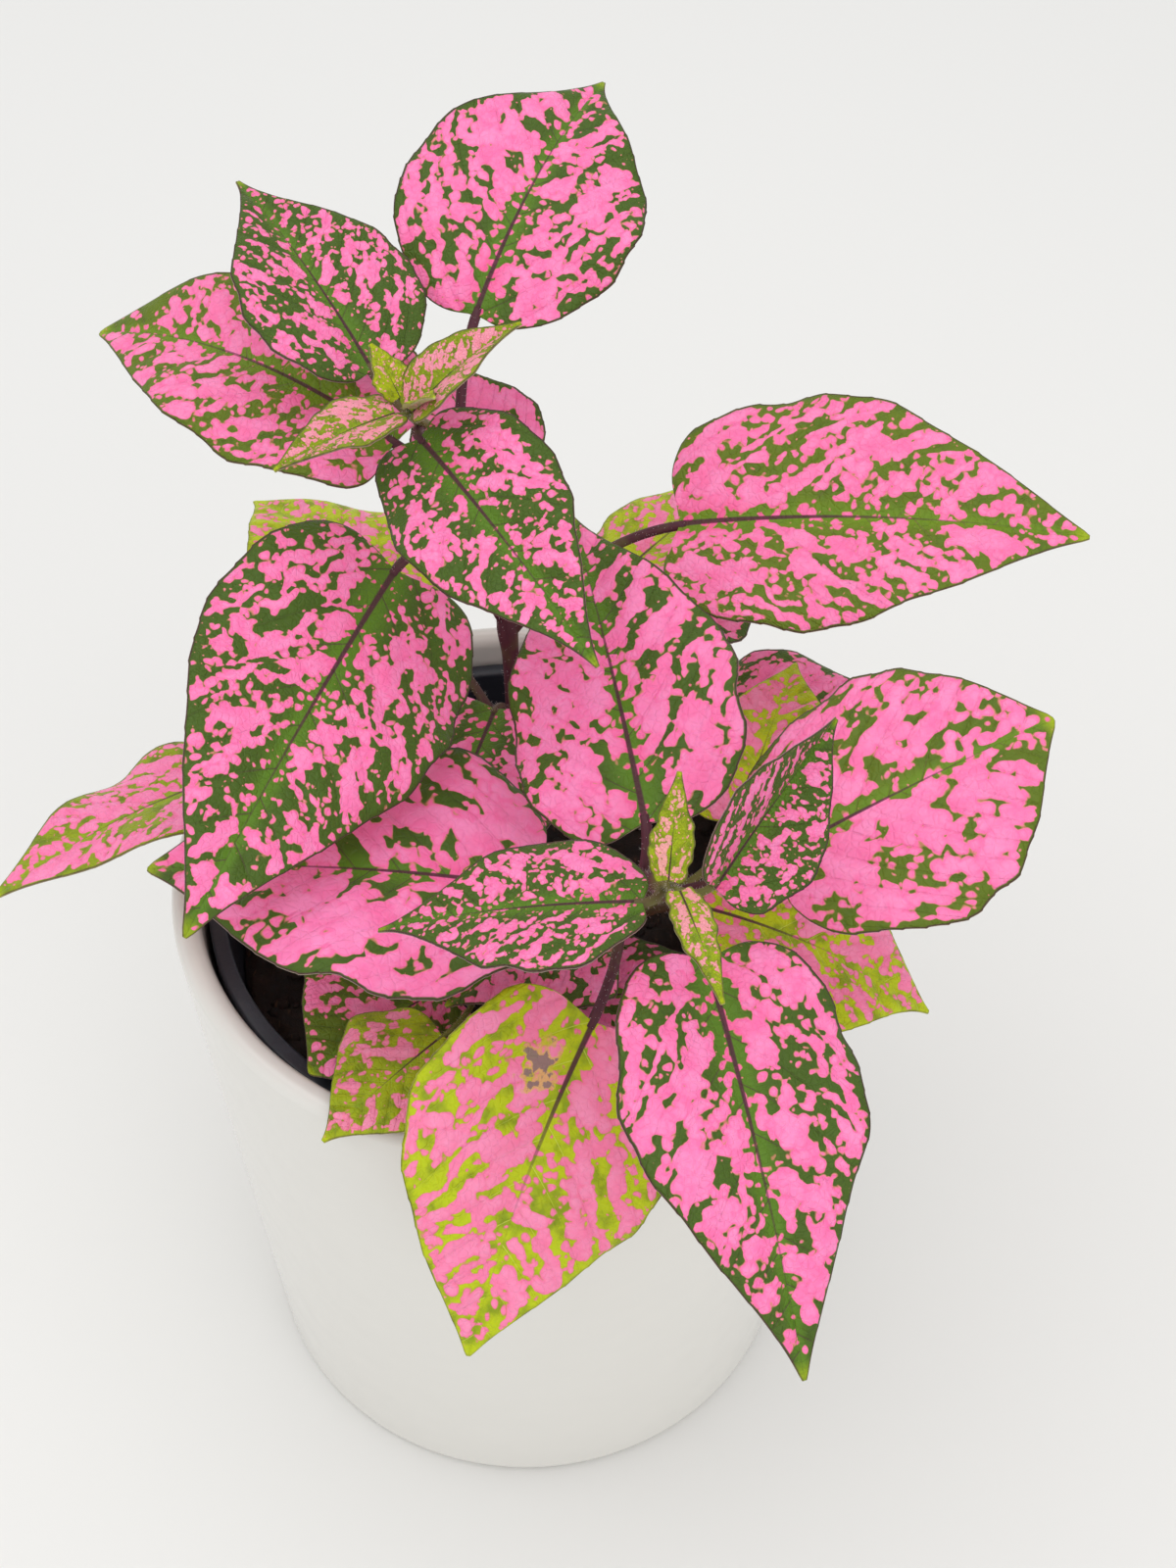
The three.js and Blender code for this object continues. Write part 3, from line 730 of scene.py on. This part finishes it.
def spun(profile, segments):
    """A closed shape of revolution about Z. The profile starts and ends on the axis."""
    bm = bmesh.new()
    verts = [bm.verts.new((radius, 0, height)) for radius, height in profile]
    geom = verts + [bm.edges.new(pair) for pair in zip(verts, verts[1:])]
    turn = {"cent": (0, 0, 0), "axis": (0, 0, 1), "angle": TAU}
    bmesh.ops.spin(bm, geom=geom, steps=segments, use_merge=True, **turn)
    bmesh.ops.remove_doubles(bm, verts=bm.verts, dist=1e-4)
    bmesh.ops.recalc_face_normals(bm, faces=bm.faces)
    return bm


# ---- The pots and the soil ----

POT_SEGMENTS = 160
FOOT_INSET = 12  # from the edge of the foot to the edge of its flat middle
CORNER = 3  # rounding where the ceramic pot's wall meets its floor
NURSERY_SEGMENTS = 128
NURSERY_BASE = 44  # outer radius of its floor
NURSERY_WALL = 1.2
NURSERY_FOOT = 1  # rounding of its foot
RIM_WIDTH = 3  # of the nursery pot's rolled rim
RIM_DEPTH = 6
RIM_ROUNDING = 0.6
RIM_EDGE = 0.4
DRAIN_HOLES = 4
DRAIN_RADIUS = 4
DRAIN_CIRCLE = 30
DRILL_DEPTH = 8
DRILL_SIDES = 36  # keeps the holes' corners off the edges of the spun floor
SOIL_RINGS = 44
SOIL_SEGMENTS = 150
SOIL_FOOT = 0.88  # radius of the soil's foot, as a share of its top's
SOIL_FADE = 1.5  # width of the edge over which its relief dies away
CRUMBS = 260


class PLANT_OT_ceramic_pot(bpy.types.Operator):
    """Add the white ceramic pot"""

    bl_idname = "plant.ceramic_pot"
    bl_label = "Ceramic Pot"

    def execute(self, context):
        pot = context.scene.plant_pot
        height, rim, base = pot.height / MM, pot.rim_radius / MM, pot.base_radius / MM
        wall, floor, rounding = pot.wall / MM, pot.floor / MM, pot.foot_rounding / MM
        lip = wall / 2
        corner = floor + CORNER
        profile = [(0, 0), (base - FOOT_INSET, 0)]
        profile += arc(base - rounding, rounding, rounding, -90, 0, 8)
        profile += straight((base, rounding), (rim, height - lip), (0.25, 0.5, 0.75, 0.93))
        profile += arc(rim - lip, height - lip, lip, 0, 180, 14)
        profile += straight((rim - wall, height - lip), (base - wall, corner), (0.1, 0.5))
        profile += arc(base - wall - CORNER, corner, CORNER, 0, -90, 5)
        bm = spun([*profile, (0, floor)], POT_SEGMENTS)
        finish = new_material("White Glaze", glaze_look, pot)
        add_piece("white_pot", bm, finish, "ceramic_glaze", "ceramic_pot")
        return {"FINISHED"}


def drill(piece, height):
    """Cuts the ring of drain holes through a piece's floor at the given height."""
    bm = bmesh.new()
    size = {"radius1": DRAIN_RADIUS, "radius2": DRAIN_RADIUS, "depth": DRILL_DEPTH}
    for hole in range(DRAIN_HOLES):
        angle = TAU * (hole + 0.5) / DRAIN_HOLES
        x, y = DRAIN_CIRCLE * math.cos(angle), DRAIN_CIRCLE * math.sin(angle)
        at = Matrix.Translation((x, y, height))
        bmesh.ops.create_cone(bm, cap_ends=True, segments=DRILL_SIDES, matrix=at, **size)
    drills = to_object("drills", to_mesh("drills", bm))
    cut = piece.modifiers.new("drain holes", "BOOLEAN")
    cut.operation = "DIFFERENCE"
    cut.solver = "EXACT"
    cut.object = drills
    drilled = piece.evaluated_get(bpy.context.evaluated_depsgraph_get())
    solid = piece.data
    piece.data = bpy.data.meshes.new_from_object(drilled)
    piece.modifiers.clear()
    bpy.data.meshes.remove(solid)
    bpy.data.meshes.remove(drills.data)  # and the object with it


class PLANT_OT_nursery_pot(bpy.types.Operator):
    """Add the black nursery pot inside the ceramic pot"""

    bl_idname = "plant.nursery_pot"
    bl_label = "Nursery Pot"

    def execute(self, context):
        pot = context.scene.plant_pot
        top, rim, bottom = NURSERY_HIGH.z, NURSERY_HIGH.x, NURSERY_LOW.z
        base, wall, foot, rounding = NURSERY_BASE, NURSERY_WALL, NURSERY_FOOT, RIM_ROUNDING
        body = rim - RIM_WIDTH + wall
        under_rim = top - RIM_DEPTH
        profile = [(0, bottom), *arc(base - foot, bottom + foot, foot, -90, 0, 4)]
        profile += [(body - 0.3, under_rim - 1), (body, under_rim)]
        profile += [(rim - RIM_EDGE, under_rim), (rim, under_rim + RIM_EDGE)]
        profile += arc(rim - rounding, top - rounding, rounding, 0, 90, 4)
        profile += arc(body - wall + rounding, top - rounding, rounding, 90, 180, 4)
        profile += [(base - wall, bottom + wall), (0, bottom + wall)]
        bm = spun(profile, NURSERY_SEGMENTS)
        finish = new_material("Black Plastic", plastic_look, pot)
        drill(add_piece("black_pot", bm, finish, "black_plastic", "nursery_pot"), bottom)
        return {"FINISHED"}


def soil_wave(x, y):
    """How far the soil's surface stands above its level at a place."""
    wave = 1.4 * math.sin(0.31 * x + 1.3) * math.cos(0.27 * y)
    return wave + 0.84 * math.sin(0.62 * y - 0.45 * x)


def soil_clods(place):
    """The finer relief of the soil's surface."""
    return 1.5 * noise.fractal(place * 0.25, 0.8, 2.1, 5) + 0.6 * noise.noise(place * 1.1)


class PLANT_OT_potting_soil(bpy.types.Operator):
    """Add the crumbly soil"""

    bl_idname = "plant.potting_soil"
    bl_label = "Potting Soil"

    def execute(self, context):
        outer = SOIL_HIGH.x
        profile = [(0, SOIL_LOW.z), (outer * SOIL_FOOT, SOIL_LOW.z)]
        profile += [(outer * (1 - ring / SOIL_RINGS), SOIL_TOP) for ring in range(SOIL_RINGS + 1)]
        bm = spun(profile, SOIL_SEGMENTS)
        for vert in bm.verts:
            if vert.co.z > SOIL_TOP - 1:
                place = vert.co.copy()
                fade = clamp((outer - place.xy.length) / SOIL_FADE)
                vert.co.z += (soil_wave(place.x, place.y) + soil_clods(place)) * fade
        draw = random.Random(7)
        for _ in range(CRUMBS):
            angle, away = draw.uniform(0, TAU), (outer - 2) * math.sqrt(draw.random())
            size = draw.uniform(0.5, 1.7)
            made = bmesh.ops.create_icosphere(bm, subdivisions=2, radius=size)["verts"]
            x, y = away * math.cos(angle), away * math.sin(angle)
            height = SOIL_TOP + soil_wave(x, y) + 0.2 * size
            ranges = ((0.7, 1.3), (0.7, 1.3), (0.5, 0.8))
            stretch = Vector([draw.uniform(low, high) for low, high in ranges])
            for vert in made:
                lump = 1 + 0.35 * noise.noise(vert.co * 1.4 + Vector((x, y, 0)))
                vert.co = vert.co * stretch * lump + Vector((x, y, height))
        finish = new_material("Potting Soil", soil_look, context.scene.plant_pot)
        add_piece("soil", bm, finish, "potting_soil", "potting_soil")
        return {"FINISHED"}


# ---- The leaves ----

USUAL_LENGTH = 60  # of a leaf, for which the sizes below hold
USUAL_WIDTH = 40
LIME_LEAF = 0.7  # how lime a leaf that takes the lime material is at least
HEART_LOBE = 0.7  # how far the base reaches back beside its stalk, as a share of the length
MARGIN_LEAD = 0.085  # how far the sides run ahead of the midrib, as a share of the length
TIP_NARROWING = 0.35  # how much the sides are drawn in towards the tip
TIP_PINCH = 0.5  # how much the last of the tip is drawn in
TIP_REACH = 0.012  # how far the drawn tip reaches on, as a share of the length
BASE_HALF_WIDTH = 0.9
TIP_HALF_WIDTH = 0.35
SCALLOPS = 6
SCALLOP_DEPTH = 0.012
WANDER = 0.8  # unevenness of a margin
FINE_TEETH = 19  # on each margin
FINE_TOOTH = 0.18
SIDE_VEINS = 8.5  # vein spacings in the length of the midrib
VEIN_SLANT = 0.75  # how far a side vein runs ahead for each step out
VEIN_BEND = 0.5  # how much more it runs ahead at the margin
VEIN_STRETCH = 1.4  # length of a side vein for each step out
VEIN_GROOVE = 0.16  # half width of the fold at a side vein, in spacings
ARCH = 0.16  # how far each half of a blade bends down to its margin
WAVES = 2.5  # of a margin, from base to tip
WAVE_LEAD = 0.35  # how far the left margin's waves run ahead
DIMPLE = 0.4  # unevenness of the surface
DIMPLE_SCALE = 0.16
RIB_BELOW = (1, 0.85)  # height and half width of the midrib on the underside
RIB_ABOVE = (0.3, 0.6)
ROW_SPREAD = 1.6  # crowds the rows towards the base
COLUMN_SPREAD = 1.4  # crowds the columns towards the midrib
SEED_STEP = 31.7  # sets the leaves' patterns apart


def margin(leaf, share, side):
    """How far along the midrib the margin lies, as a share of the length, and its distance out."""
    swell = math.sin(math.pi * share)
    lobe = HEART_LOBE * share * (1 - share) ** 6
    along = share ** leaf.taper + MARGIN_LEAD * swell ** 2 - lobe + TIP_REACH * share ** 30
    scallop = 1 + SCALLOP_DEPTH * math.cos(TAU * SCALLOPS * share)
    narrowing = 1 - TIP_NARROWING * share ** 8
    out = (leaf.width / 2) * clamp(swell) ** leaf.full * narrowing * scallop
    out *= 1 - TIP_PINCH * share ** 16
    tooth = (FINE_TEETH * share) % 1.0
    notch = FINE_TOOTH * (tooth ** 3 - 0.4) * clamp(swell * 2) * leaf.width / USUAL_WIDTH
    place = Vector((8 * share, 3 * math.copysign(1, side), 9 * leaf.phase))
    drift = WANDER * noise.noise(place) * swell
    return along, out + notch + drift + mix(BASE_HALF_WIDTH, TIP_HALF_WIDTH, share)


def midrib(leaf, distance):
    """The midrib's point at a distance along it, and the directions to its left and upwards."""
    ahead = Vector((math.cos(leaf.heading), math.sin(leaf.heading), 0))
    level = Vector((-math.sin(leaf.heading), math.cos(leaf.heading), 0))
    bend = leaf.droop / leaf.length
    inside = clamp(distance, 0, leaf.length)
    slope = leaf.pitch - bend * inside
    point = leaf.at + ahead * (math.sin(leaf.pitch) - math.sin(slope)) / bend
    point.z += (math.cos(slope) - math.cos(leaf.pitch)) / bend
    tangent = ahead * math.cos(slope) + Vector((0, 0, math.sin(slope)))
    point += tangent * (distance - inside)
    up = tangent.cross(level)
    left = level * math.cos(leaf.roll) - up * math.sin(leaf.roll)
    return point, left, tangent.cross(left)


def shape_vertex(leaf, settings, share, side, under):
    """A point of the blade's upper or lower face, and its marks for the pattern."""
    reach = abs(side)
    edge_along, edge_out = margin(leaf, share, side)
    along = leaf.length * mix(share ** ROW_SPREAD + TIP_REACH * share ** 30, edge_along, reach)
    out = reach * edge_out
    across = out / (leaf.width / 2)
    turns = WAVES * share + leaf.phase + (WAVE_LEAD if side > 0 else 0)
    height = (leaf.width / 2) * (math.tan(leaf.fold) * across - ARCH * across ** 2)
    height += leaf.wave * reach ** 2 * math.sin(TAU * turns) * math.sin(math.pi * share)

    # The blade swells between the side veins, which leave the midrib at about half a right angle.
    vein_foot = along - out * (VEIN_SLANT + VEIN_BEND * across)
    number = SIDE_VEINS * vein_foot / leaf.length
    shifted = number + (VEIN_SHIFT if side > 0 else 0)
    from_vein = abs(shifted - round(shifted))
    swelling = 1 - math.exp(-((from_vein / VEIN_GROOVE) ** 2))
    body = clamp(4 * reach * (1 - reach)) * clamp(12 * share * (1 - share))
    size = leaf.width / USUAL_WIDTH
    height += settings.quilting / MM * size * swelling * body
    place = Vector((DIMPLE_SCALE * along, DIMPLE_SCALE * side * edge_out, 5 * leaf.phase))
    height += DIMPLE * size * body * noise.noise(place)

    rib_height, rib_width = RIB_BELOW if under else RIB_ABOVE
    stoutness = max(1 - share, 0) ** 0.8 * math.sqrt(leaf.length / USUAL_LENGTH)
    rib = rib_height * settings.rib_height / MM * stoutness * math.exp(-((out / rib_width) ** 2))
    half = settings.thickness / MM / 2 * mix(1, 0.6, reach ** 4) + rib
    height += -half if under else half
    point, left, up = midrib(leaf, along)
    leftward = math.copysign(out, side)
    point = point + left * leftward + up * height
    scar = 0
    if leaf.scar:
        scar_along, scar_left, scar_radius = leaf.scar
        scar = clamp(1 - math.hypot(along - scar_along, leftward - scar_left) / scar_radius)
    marks = {
        "scar": scar,
        "lie": (vein_foot / leaf.spots, VEIN_STRETCH * out / leaf.spots, number),
        "flat": (along / leaf.spots, leftward / leaf.spots, 0),
        "place": (along / leaf.length, leftward, edge_out - out),
    }
    return point, marks


def blade(leaf, settings, rows, columns, seed):
    """A leaf's blade: a grid folded and waved to the leaf's form, closed with an underside."""
    bm = bmesh.new()
    bmesh.ops.create_grid(bm, x_segments=rows, y_segments=2 * columns, size=1)
    grid = bm.verts.layers.float_vector.new("grid")
    for vert in bm.verts:
        vert[grid] = vert.co
    under = bm.verts.layers.float.new("under")
    names = ("lie", "flat", "place", "habit")
    layers = {name: bm.verts.layers.float_vector.new(name) for name in names}
    layers["scar"] = bm.verts.layers.float.new("scar")
    for vert in bmesh.ops.extrude_face_region(bm, geom=bm.faces[:])["geom"]:
        if isinstance(vert, bmesh.types.BMVert):
            vert[under] = 1.0
    for vert in bm.verts:
        share = (vert[grid].x + 1) / 2
        side = math.copysign(abs(vert[grid].y) ** COLUMN_SPREAD, vert[grid].y)
        vert.co, marks = shape_vertex(leaf, settings, share, side, vert[under])
        for name, mark in marks.items():
            vert[layers[name]] = mark
        vert[layers["flat"]].z = SEED_STEP * seed
        vert[layers["habit"]] = (leaf.pink, leaf.lime, min(1, leaf.length / USUAL_LENGTH))
    bmesh.ops.recalc_face_normals(bm, faces=bm.faces)
    return bm


class PLANT_OT_leaves(bpy.types.Operator):
    """Add the large leaves, each as a piece of its own, and the young ones at the stems' tips"""

    bl_idname = "plant.leaves"
    bl_label = "Leaves"

    def execute(self, context):
        settings = context.scene.plant_leaf
        pattern = leaf_pattern()
        pink = new_material("Pink Leaf", leaf_look, pattern, settings), "pink_leaf"
        lime = new_material("Lime Leaf", leaf_look, pattern, settings), "lime_leaf"
        seed = 0
        for name, leaf in LEAVES.items():
            seed += 1
            bm = blade(leaf, settings, settings.rows, settings.columns, seed)
            finish = lime if leaf.lime >= LIME_LEAF else pink
            add_piece("blade_" + name, bm, *finish, "leaf_" + name)
        for name, leaf in YOUNG_LEAVES.items():
            seed += 1
            bm = blade(leaf, settings, settings.rows // 3, settings.columns // 2, seed)
            add_piece("young_" + name, bm, *lime, "stem_" + name.split("_")[0])
        return {"FINISHED"}


# ---- Stems and stalks ----

LINE_STEPS = 16  # points of a stem's line for each of the plan's
STEM_TAPER = 0.3  # how much thinner a stem gets over the taper height
STEM_TAPER_HEIGHT = 110
JOINT_LENGTH = 1.8  # of the swelling where leaves stand
JOINT_SWELLING = 0.22
BUD_LENGTH = 14  # of the stem's end, which narrows to its bud
BUD_TIP = 0.3
YOUNG_LENGTH = 18  # of the stem's end that is still green
YOUNG_STALK = 0.75  # how green the youngest stalks are
YOUNG_LEAF, GROWN_LEAF = 28, 48  # lengths of leaves between which stalks lose their green
STALK_STEPS = 24
STALK_RADIUS = 0.85
STOUT_LEAF = 45  # length of the leaves from which on stalks have that radius
SLENDEREST_STALK = 0.35  # as a share of it
STALK_SINK = 1.2  # how far a stalk runs into its blade
STALK_TURN = 0.45  # how far before the blade it turns, as a share of its reach
STALK_FLARE = 0.25  # how much thicker it is at the stem
TUBE_SIDES = 14
HAIR_RADIUS = 0.03
HAIR_SINK = 0.05
BARE_FOOT = 2  # height over the soil below which no hairs stand


def between(knot, low, high, start, end):
    """The point on the line through two others that stand at a low and a high knot."""
    return start + (end - start) * ((knot - low) / (high - low))


def catmull(points, steps):
    """Points on a smooth line through the given ones, with a centripetal spline's even bends."""
    points = [Vector(point) for point in points]
    ends = [2 * points[0] - points[1], *points, 2 * points[-1] - points[-2]]
    line = []
    for start in range(len(points) - 1):
        near = ends[start:start + 4]
        knots = [0]
        for low, high in zip(near, near[1:]):
            knots.append(knots[-1] + math.sqrt((high - low).length))
        for step in range(steps):
            knot = mix(knots[1], knots[2], step / steps)
            row = near
            for span in (1, 2):
                pairs = zip(knots, knots[span:], row, row[1:])
                row = [between(knot, *pair) for pair in pairs]
            line.append(between(knot, knots[1], knots[2], *row))
    return line + [points[-1]]


def stem_line(path):
    """A stem's middle line, from the foot of its root."""
    x, y, z = path[0]
    return catmull([(x, y, z - ROOT_DEPTH), (x, y, z - ROOT_DEPTH / 2), *path], LINE_STEPS)


def stem_radii(line, radius, leaves):
    """A stem's radius along its line: it tapers, swells where leaves stand and ends in a bud."""
    radii = []
    for point in line:
        joint = max(math.exp(-((point.z - leaf.leaves_at) / JOINT_LENGTH) ** 2) for leaf in leaves)
        slender = 1 - STEM_TAPER * clamp((point.z - SOIL_TOP) / STEM_TAPER_HEIGHT)
        bud = mix(BUD_TIP, 1, clamp((line[-1] - point).length / BUD_LENGTH))
        radii.append(radius * slender * bud * (1 + JOINT_SWELLING * joint))
    return radii


def at_height(line, height):
    """The point of a rising line at a height."""
    for low, high in zip(line, line[1:]):
        if high.z >= height:
            return low.lerp(high, (height - low.z) / (high.z - low.z))
    return line[-1]


def stalk_line(leaf, line):
    """A stalk's middle line: out of its stem's line, and round into the leaf's blade."""
    start = at_height(line, leaf.leaves_at)
    point, left, up = midrib(leaf, 0)
    ahead = left.cross(up)
    stop = point + ahead * STALK_SINK
    turn = stop - ahead * STALK_TURN * (stop - start).length
    points = []
    for step in range(STALK_STEPS + 1):
        t = step / STALK_STEPS
        points.append(start * (1 - t) ** 2 + turn * 2 * t * (1 - t) + stop * t ** 2)
    return points


def stalk(bm, leaf, line):
    """Adds a leaf's stalk: returns what tube() does."""
    points = stalk_line(leaf, line)
    stout = STALK_RADIUS * clamp(leaf.length / STOUT_LEAF, SLENDEREST_STALK, 1)
    radii = []
    for step in range(len(points)):
        radii.append(stout * (1 + STALK_FLARE * (1 - step / STALK_STEPS) ** 4))
    age = (GROWN_LEAF - leaf.length) / (GROWN_LEAF - YOUNG_LEAF)
    return tube(bm, points, radii, [YOUNG_STALK * clamp(age)] * len(points))


def tube(bm, line, radii, young):
    """Adds a closed round tube along a line, with a radius and a youth at each point.

    Returns each point with the direction along the tube, two across it and the radius there.
    """
    skin, youth = bm.verts.layers.float_vector["skin"], bm.verts.layers.float["youth"]
    ring = bmesh.ops.create_circle(bm, segments=TUBE_SIDES, radius=1, cap_ends=True)["verts"]
    circle = [vert.co.copy() for vert in ring]
    cap = ring[0].link_faces[0]
    side = (line[1] - line[0]).orthogonal().normalized()
    run = 0
    frames = []
    for index, (point, radius) in enumerate(zip(line, radii)):
        if index:
            behind = cap
            ring, cap = extrude_cap(bm, ring, cap)
            if index > 1:
                bmesh.ops.delete(bm, geom=[behind], context="FACES_ONLY")
            run += (point - line[index - 1]).length
        ahead = (line[min(index + 1, len(line) - 1)] - line[max(index - 1, 0)]).normalized()
        side = (side - ahead * side.dot(ahead)).normalized()
        other = ahead.cross(side)
        for vert, place in zip(ring, circle):
            vert.co = point + (side * place.x + other * place.y) * radius
            vert[skin] = (place.x, place.y, run)
            vert[youth] = young[index]
        frames.append((point, ahead, side.copy(), other, radius))
    return frames


def extrude_cap(bm, ring, cap):
    """Extrudes a tube's end face, and returns the new ring in the old one's order and the face."""
    made = bmesh.ops.extrude_face_region(bm, geom=[cap])["geom"]
    new_cap = next(item for item in made if isinstance(item, bmesh.types.BMFace))
    corners = set(new_cap.verts)
    new_ring = []
    for vert in ring:
        others = (edge.other_vert(vert) for edge in vert.link_edges)
        new_ring.append(next(other for other in others if other in corners))
    return new_ring, new_cap


def hair_shape():
    """One thin pointed hair that stands up from the origin, 1 mm long."""
    bm = bmesh.new()
    size = {"radius1": HAIR_RADIUS, "radius2": 0, "depth": 1}
    bmesh.ops.create_cone(bm, cap_ends=True, segments=3, **size)
    bmesh.ops.translate(bm, vec=(0, 0, 0.5), verts=bm.verts)
    return to_mesh("hair", bm, 1)


def grow_hairs(bm, hair, tubes, settings, draw):
    """Sets hairs all over the tubes above the soil, leaning a little towards their tips."""
    for frames in tubes:
        for (low, ahead, side, other, radius), (high, *_) in zip(frames, frames[1:]):
            if low.z < SOIL_TOP + BARE_FOOT:
                continue
            count = settings.hairs_per_mm * (high - low).length
            for _ in range(int(count + draw.random())):
                angle = draw.uniform(0, TAU)
                outward = side * math.cos(angle) + other * math.sin(angle)
                length = settings.hair_length / MM * draw.uniform(0.5, 1)
                lean = (outward + ahead * draw.uniform(0, 0.7)).normalized()
                foot = low.lerp(high, draw.random()) + outward * (radius - HAIR_SINK)
                turn = lean.to_track_quat("Z", "Y").to_matrix().to_4x4()
                stand = Matrix.Translation(foot) @ turn @ Matrix.Diagonal((1, 1, length, 1))
                hair.transform(stand)
                bm.from_mesh(hair)
                hair.transform(stand.inverted())


class PLANT_OT_stems(bpy.types.Operator):
    """Add the four stems with their leaf stalks and fine hairs"""

    bl_idname = "plant.stems"
    bl_label = "Stems"

    def execute(self, context):
        settings = context.scene.plant_stem
        finish = new_material("Purple Stem", stem_look, settings)
        hair_finish, hair = new_material("Fine Hair", hair_look), hair_shape()
        every_leaf = (LEAVES | YOUNG_LEAVES).items()
        draw = random.Random(11)
        for name, (radius, path) in STEMS.items():
            line = stem_line(path)
            leaves = [leaf for place, leaf in every_leaf if place.startswith(name)]
            bm = bmesh.new()
            bm.verts.layers.float_vector.new("skin")
            bm.verts.layers.float.new("youth")
            young = [clamp(1 - (line[-1] - point).length / YOUNG_LENGTH) for point in line]
            tubes = [tube(bm, line, stem_radii(line, radius, leaves), young)]
            tubes += [stalk(bm, leaf, line) for leaf in leaves]
            bmesh.ops.recalc_face_normals(bm, faces=bm.faces)
            add_piece("stalks_" + name, bm, finish, "stem", "stem_" + name)
            bm = bmesh.new()
            grow_hairs(bm, hair, tubes, settings, draw)
            add_piece("hairs_" + name, bm, hair_finish, "stem", "stem_" + name)
        bpy.data.meshes.remove(hair)
        return {"FINISHED"}


# ---- The stage ----

# Lengths here are in metres. Each light has a place, a target and a size.
FLOOR_HALF = 3
KEY_LIGHT = ((-0.2, -0.1, 1.3), (0, 0, 0.15), 1.4)
FILL_LIGHT = ((0.5, -0.9, 0.7), (0, 0, 0.12), 0.9)
FILL_SHARE = 0.3  # of the key light's power
SKY_COLOUR = (0.98, 0.99, 1, 1)
CAMERA_PLACE = (0.01228, -0.26354, 0.43892)
CAMERA_TILT = math.radians(42)  # up from straight down


class PLANT_OT_stage(bpy.types.Operator):
    """Add the floor, the lights and the camera"""

    bl_idname = "plant.stage"
    bl_label = "Stage"

    def execute(self, context):
        scene, stage = context.scene, context.scene.plant_stage
        bm = bmesh.new()
        bmesh.ops.create_grid(bm, x_segments=1, y_segments=1, size=FLOOR_HALF)
        mesh = to_mesh("floor", bm, 1)
        mesh.materials.append(new_material("Pale Floor", floor_look, stage))
        floor = to_object("floor", mesh)

        world = bpy.data.worlds.new("Even Light")
        world.use_nodes = True
        sky = world.node_tree.nodes["Background"].inputs
        sky["Color"].default_value = SKY_COLOUR
        sky["Strength"].default_value = stage.sky_strength
        scene.world = world
        scene.view_settings.view_transform = "Standard"
        self.light("key", *KEY_LIGHT, stage.key_power)
        self.light("fill", *FILL_LIGHT, stage.key_power * FILL_SHARE)

        camera = to_object("camera", bpy.data.cameras.new("camera"))
        camera.data.lens = stage.focal_length
        camera.data.sensor_width = 36
        camera.data.clip_start = 0.01
        camera.location = CAMERA_PLACE
        camera.rotation_euler = (CAMERA_TILT, 0, 0)
        scene.camera = camera
        return {"FINISHED"}

    def light(self, name, place, target, size, power):
        """A square soft light that looks at the target."""
        lamp = bpy.data.lights.new(name, "AREA")
        lamp.size = size
        lamp.energy = power
        made = to_object(name, lamp)
        made.location = place
        aim = Vector(target) - Vector(place)
        made.rotation_euler = aim.to_track_quat("-Z", "Y").to_euler()


class PLANT_PT_panel(bpy.types.Panel):
    """Lists the plant's pieces in the 3D view's sidebar"""

    bl_idname = "PLANT_PT_panel"
    bl_label = "Potted Plant"
    bl_space_type = "VIEW_3D"
    bl_region_type = "UI"
    bl_category = "Plant"

    def draw(self, context):
        for operator in OPERATORS:
            self.layout.operator(operator.bl_idname)


SETTINGS = {
    "plant_pot": PotSettings,
    "plant_leaf": LeafSettings,
    "plant_stem": StemSettings,
    "plant_stage": StageSettings,
}
OPERATORS = (
    PLANT_OT_ceramic_pot,
    PLANT_OT_nursery_pot,
    PLANT_OT_potting_soil,
    PLANT_OT_stems,
    PLANT_OT_leaves,
    PLANT_OT_stage,
)


def register():
    for made in (*SETTINGS.values(), *OPERATORS, PLANT_PT_panel):
        bpy.utils.register_class(made)
    for name, group in SETTINGS.items():
        setattr(bpy.types.Scene, name, PointerProperty(type=group))


def unregister():
    for name in SETTINGS:
        delattr(bpy.types.Scene, name)
    for made in reversed((*SETTINGS.values(), *OPERATORS, PLANT_PT_panel)):
        bpy.utils.unregister_class(made)


def main():
    register()
    bpy.ops.plant.ceramic_pot()
    bpy.ops.plant.nursery_pot()
    bpy.ops.plant.potting_soil()
    bpy.ops.plant.stems()
    bpy.ops.plant.leaves()
    bpy.ops.plant.stage()


if __name__ == "__main__":
    main()
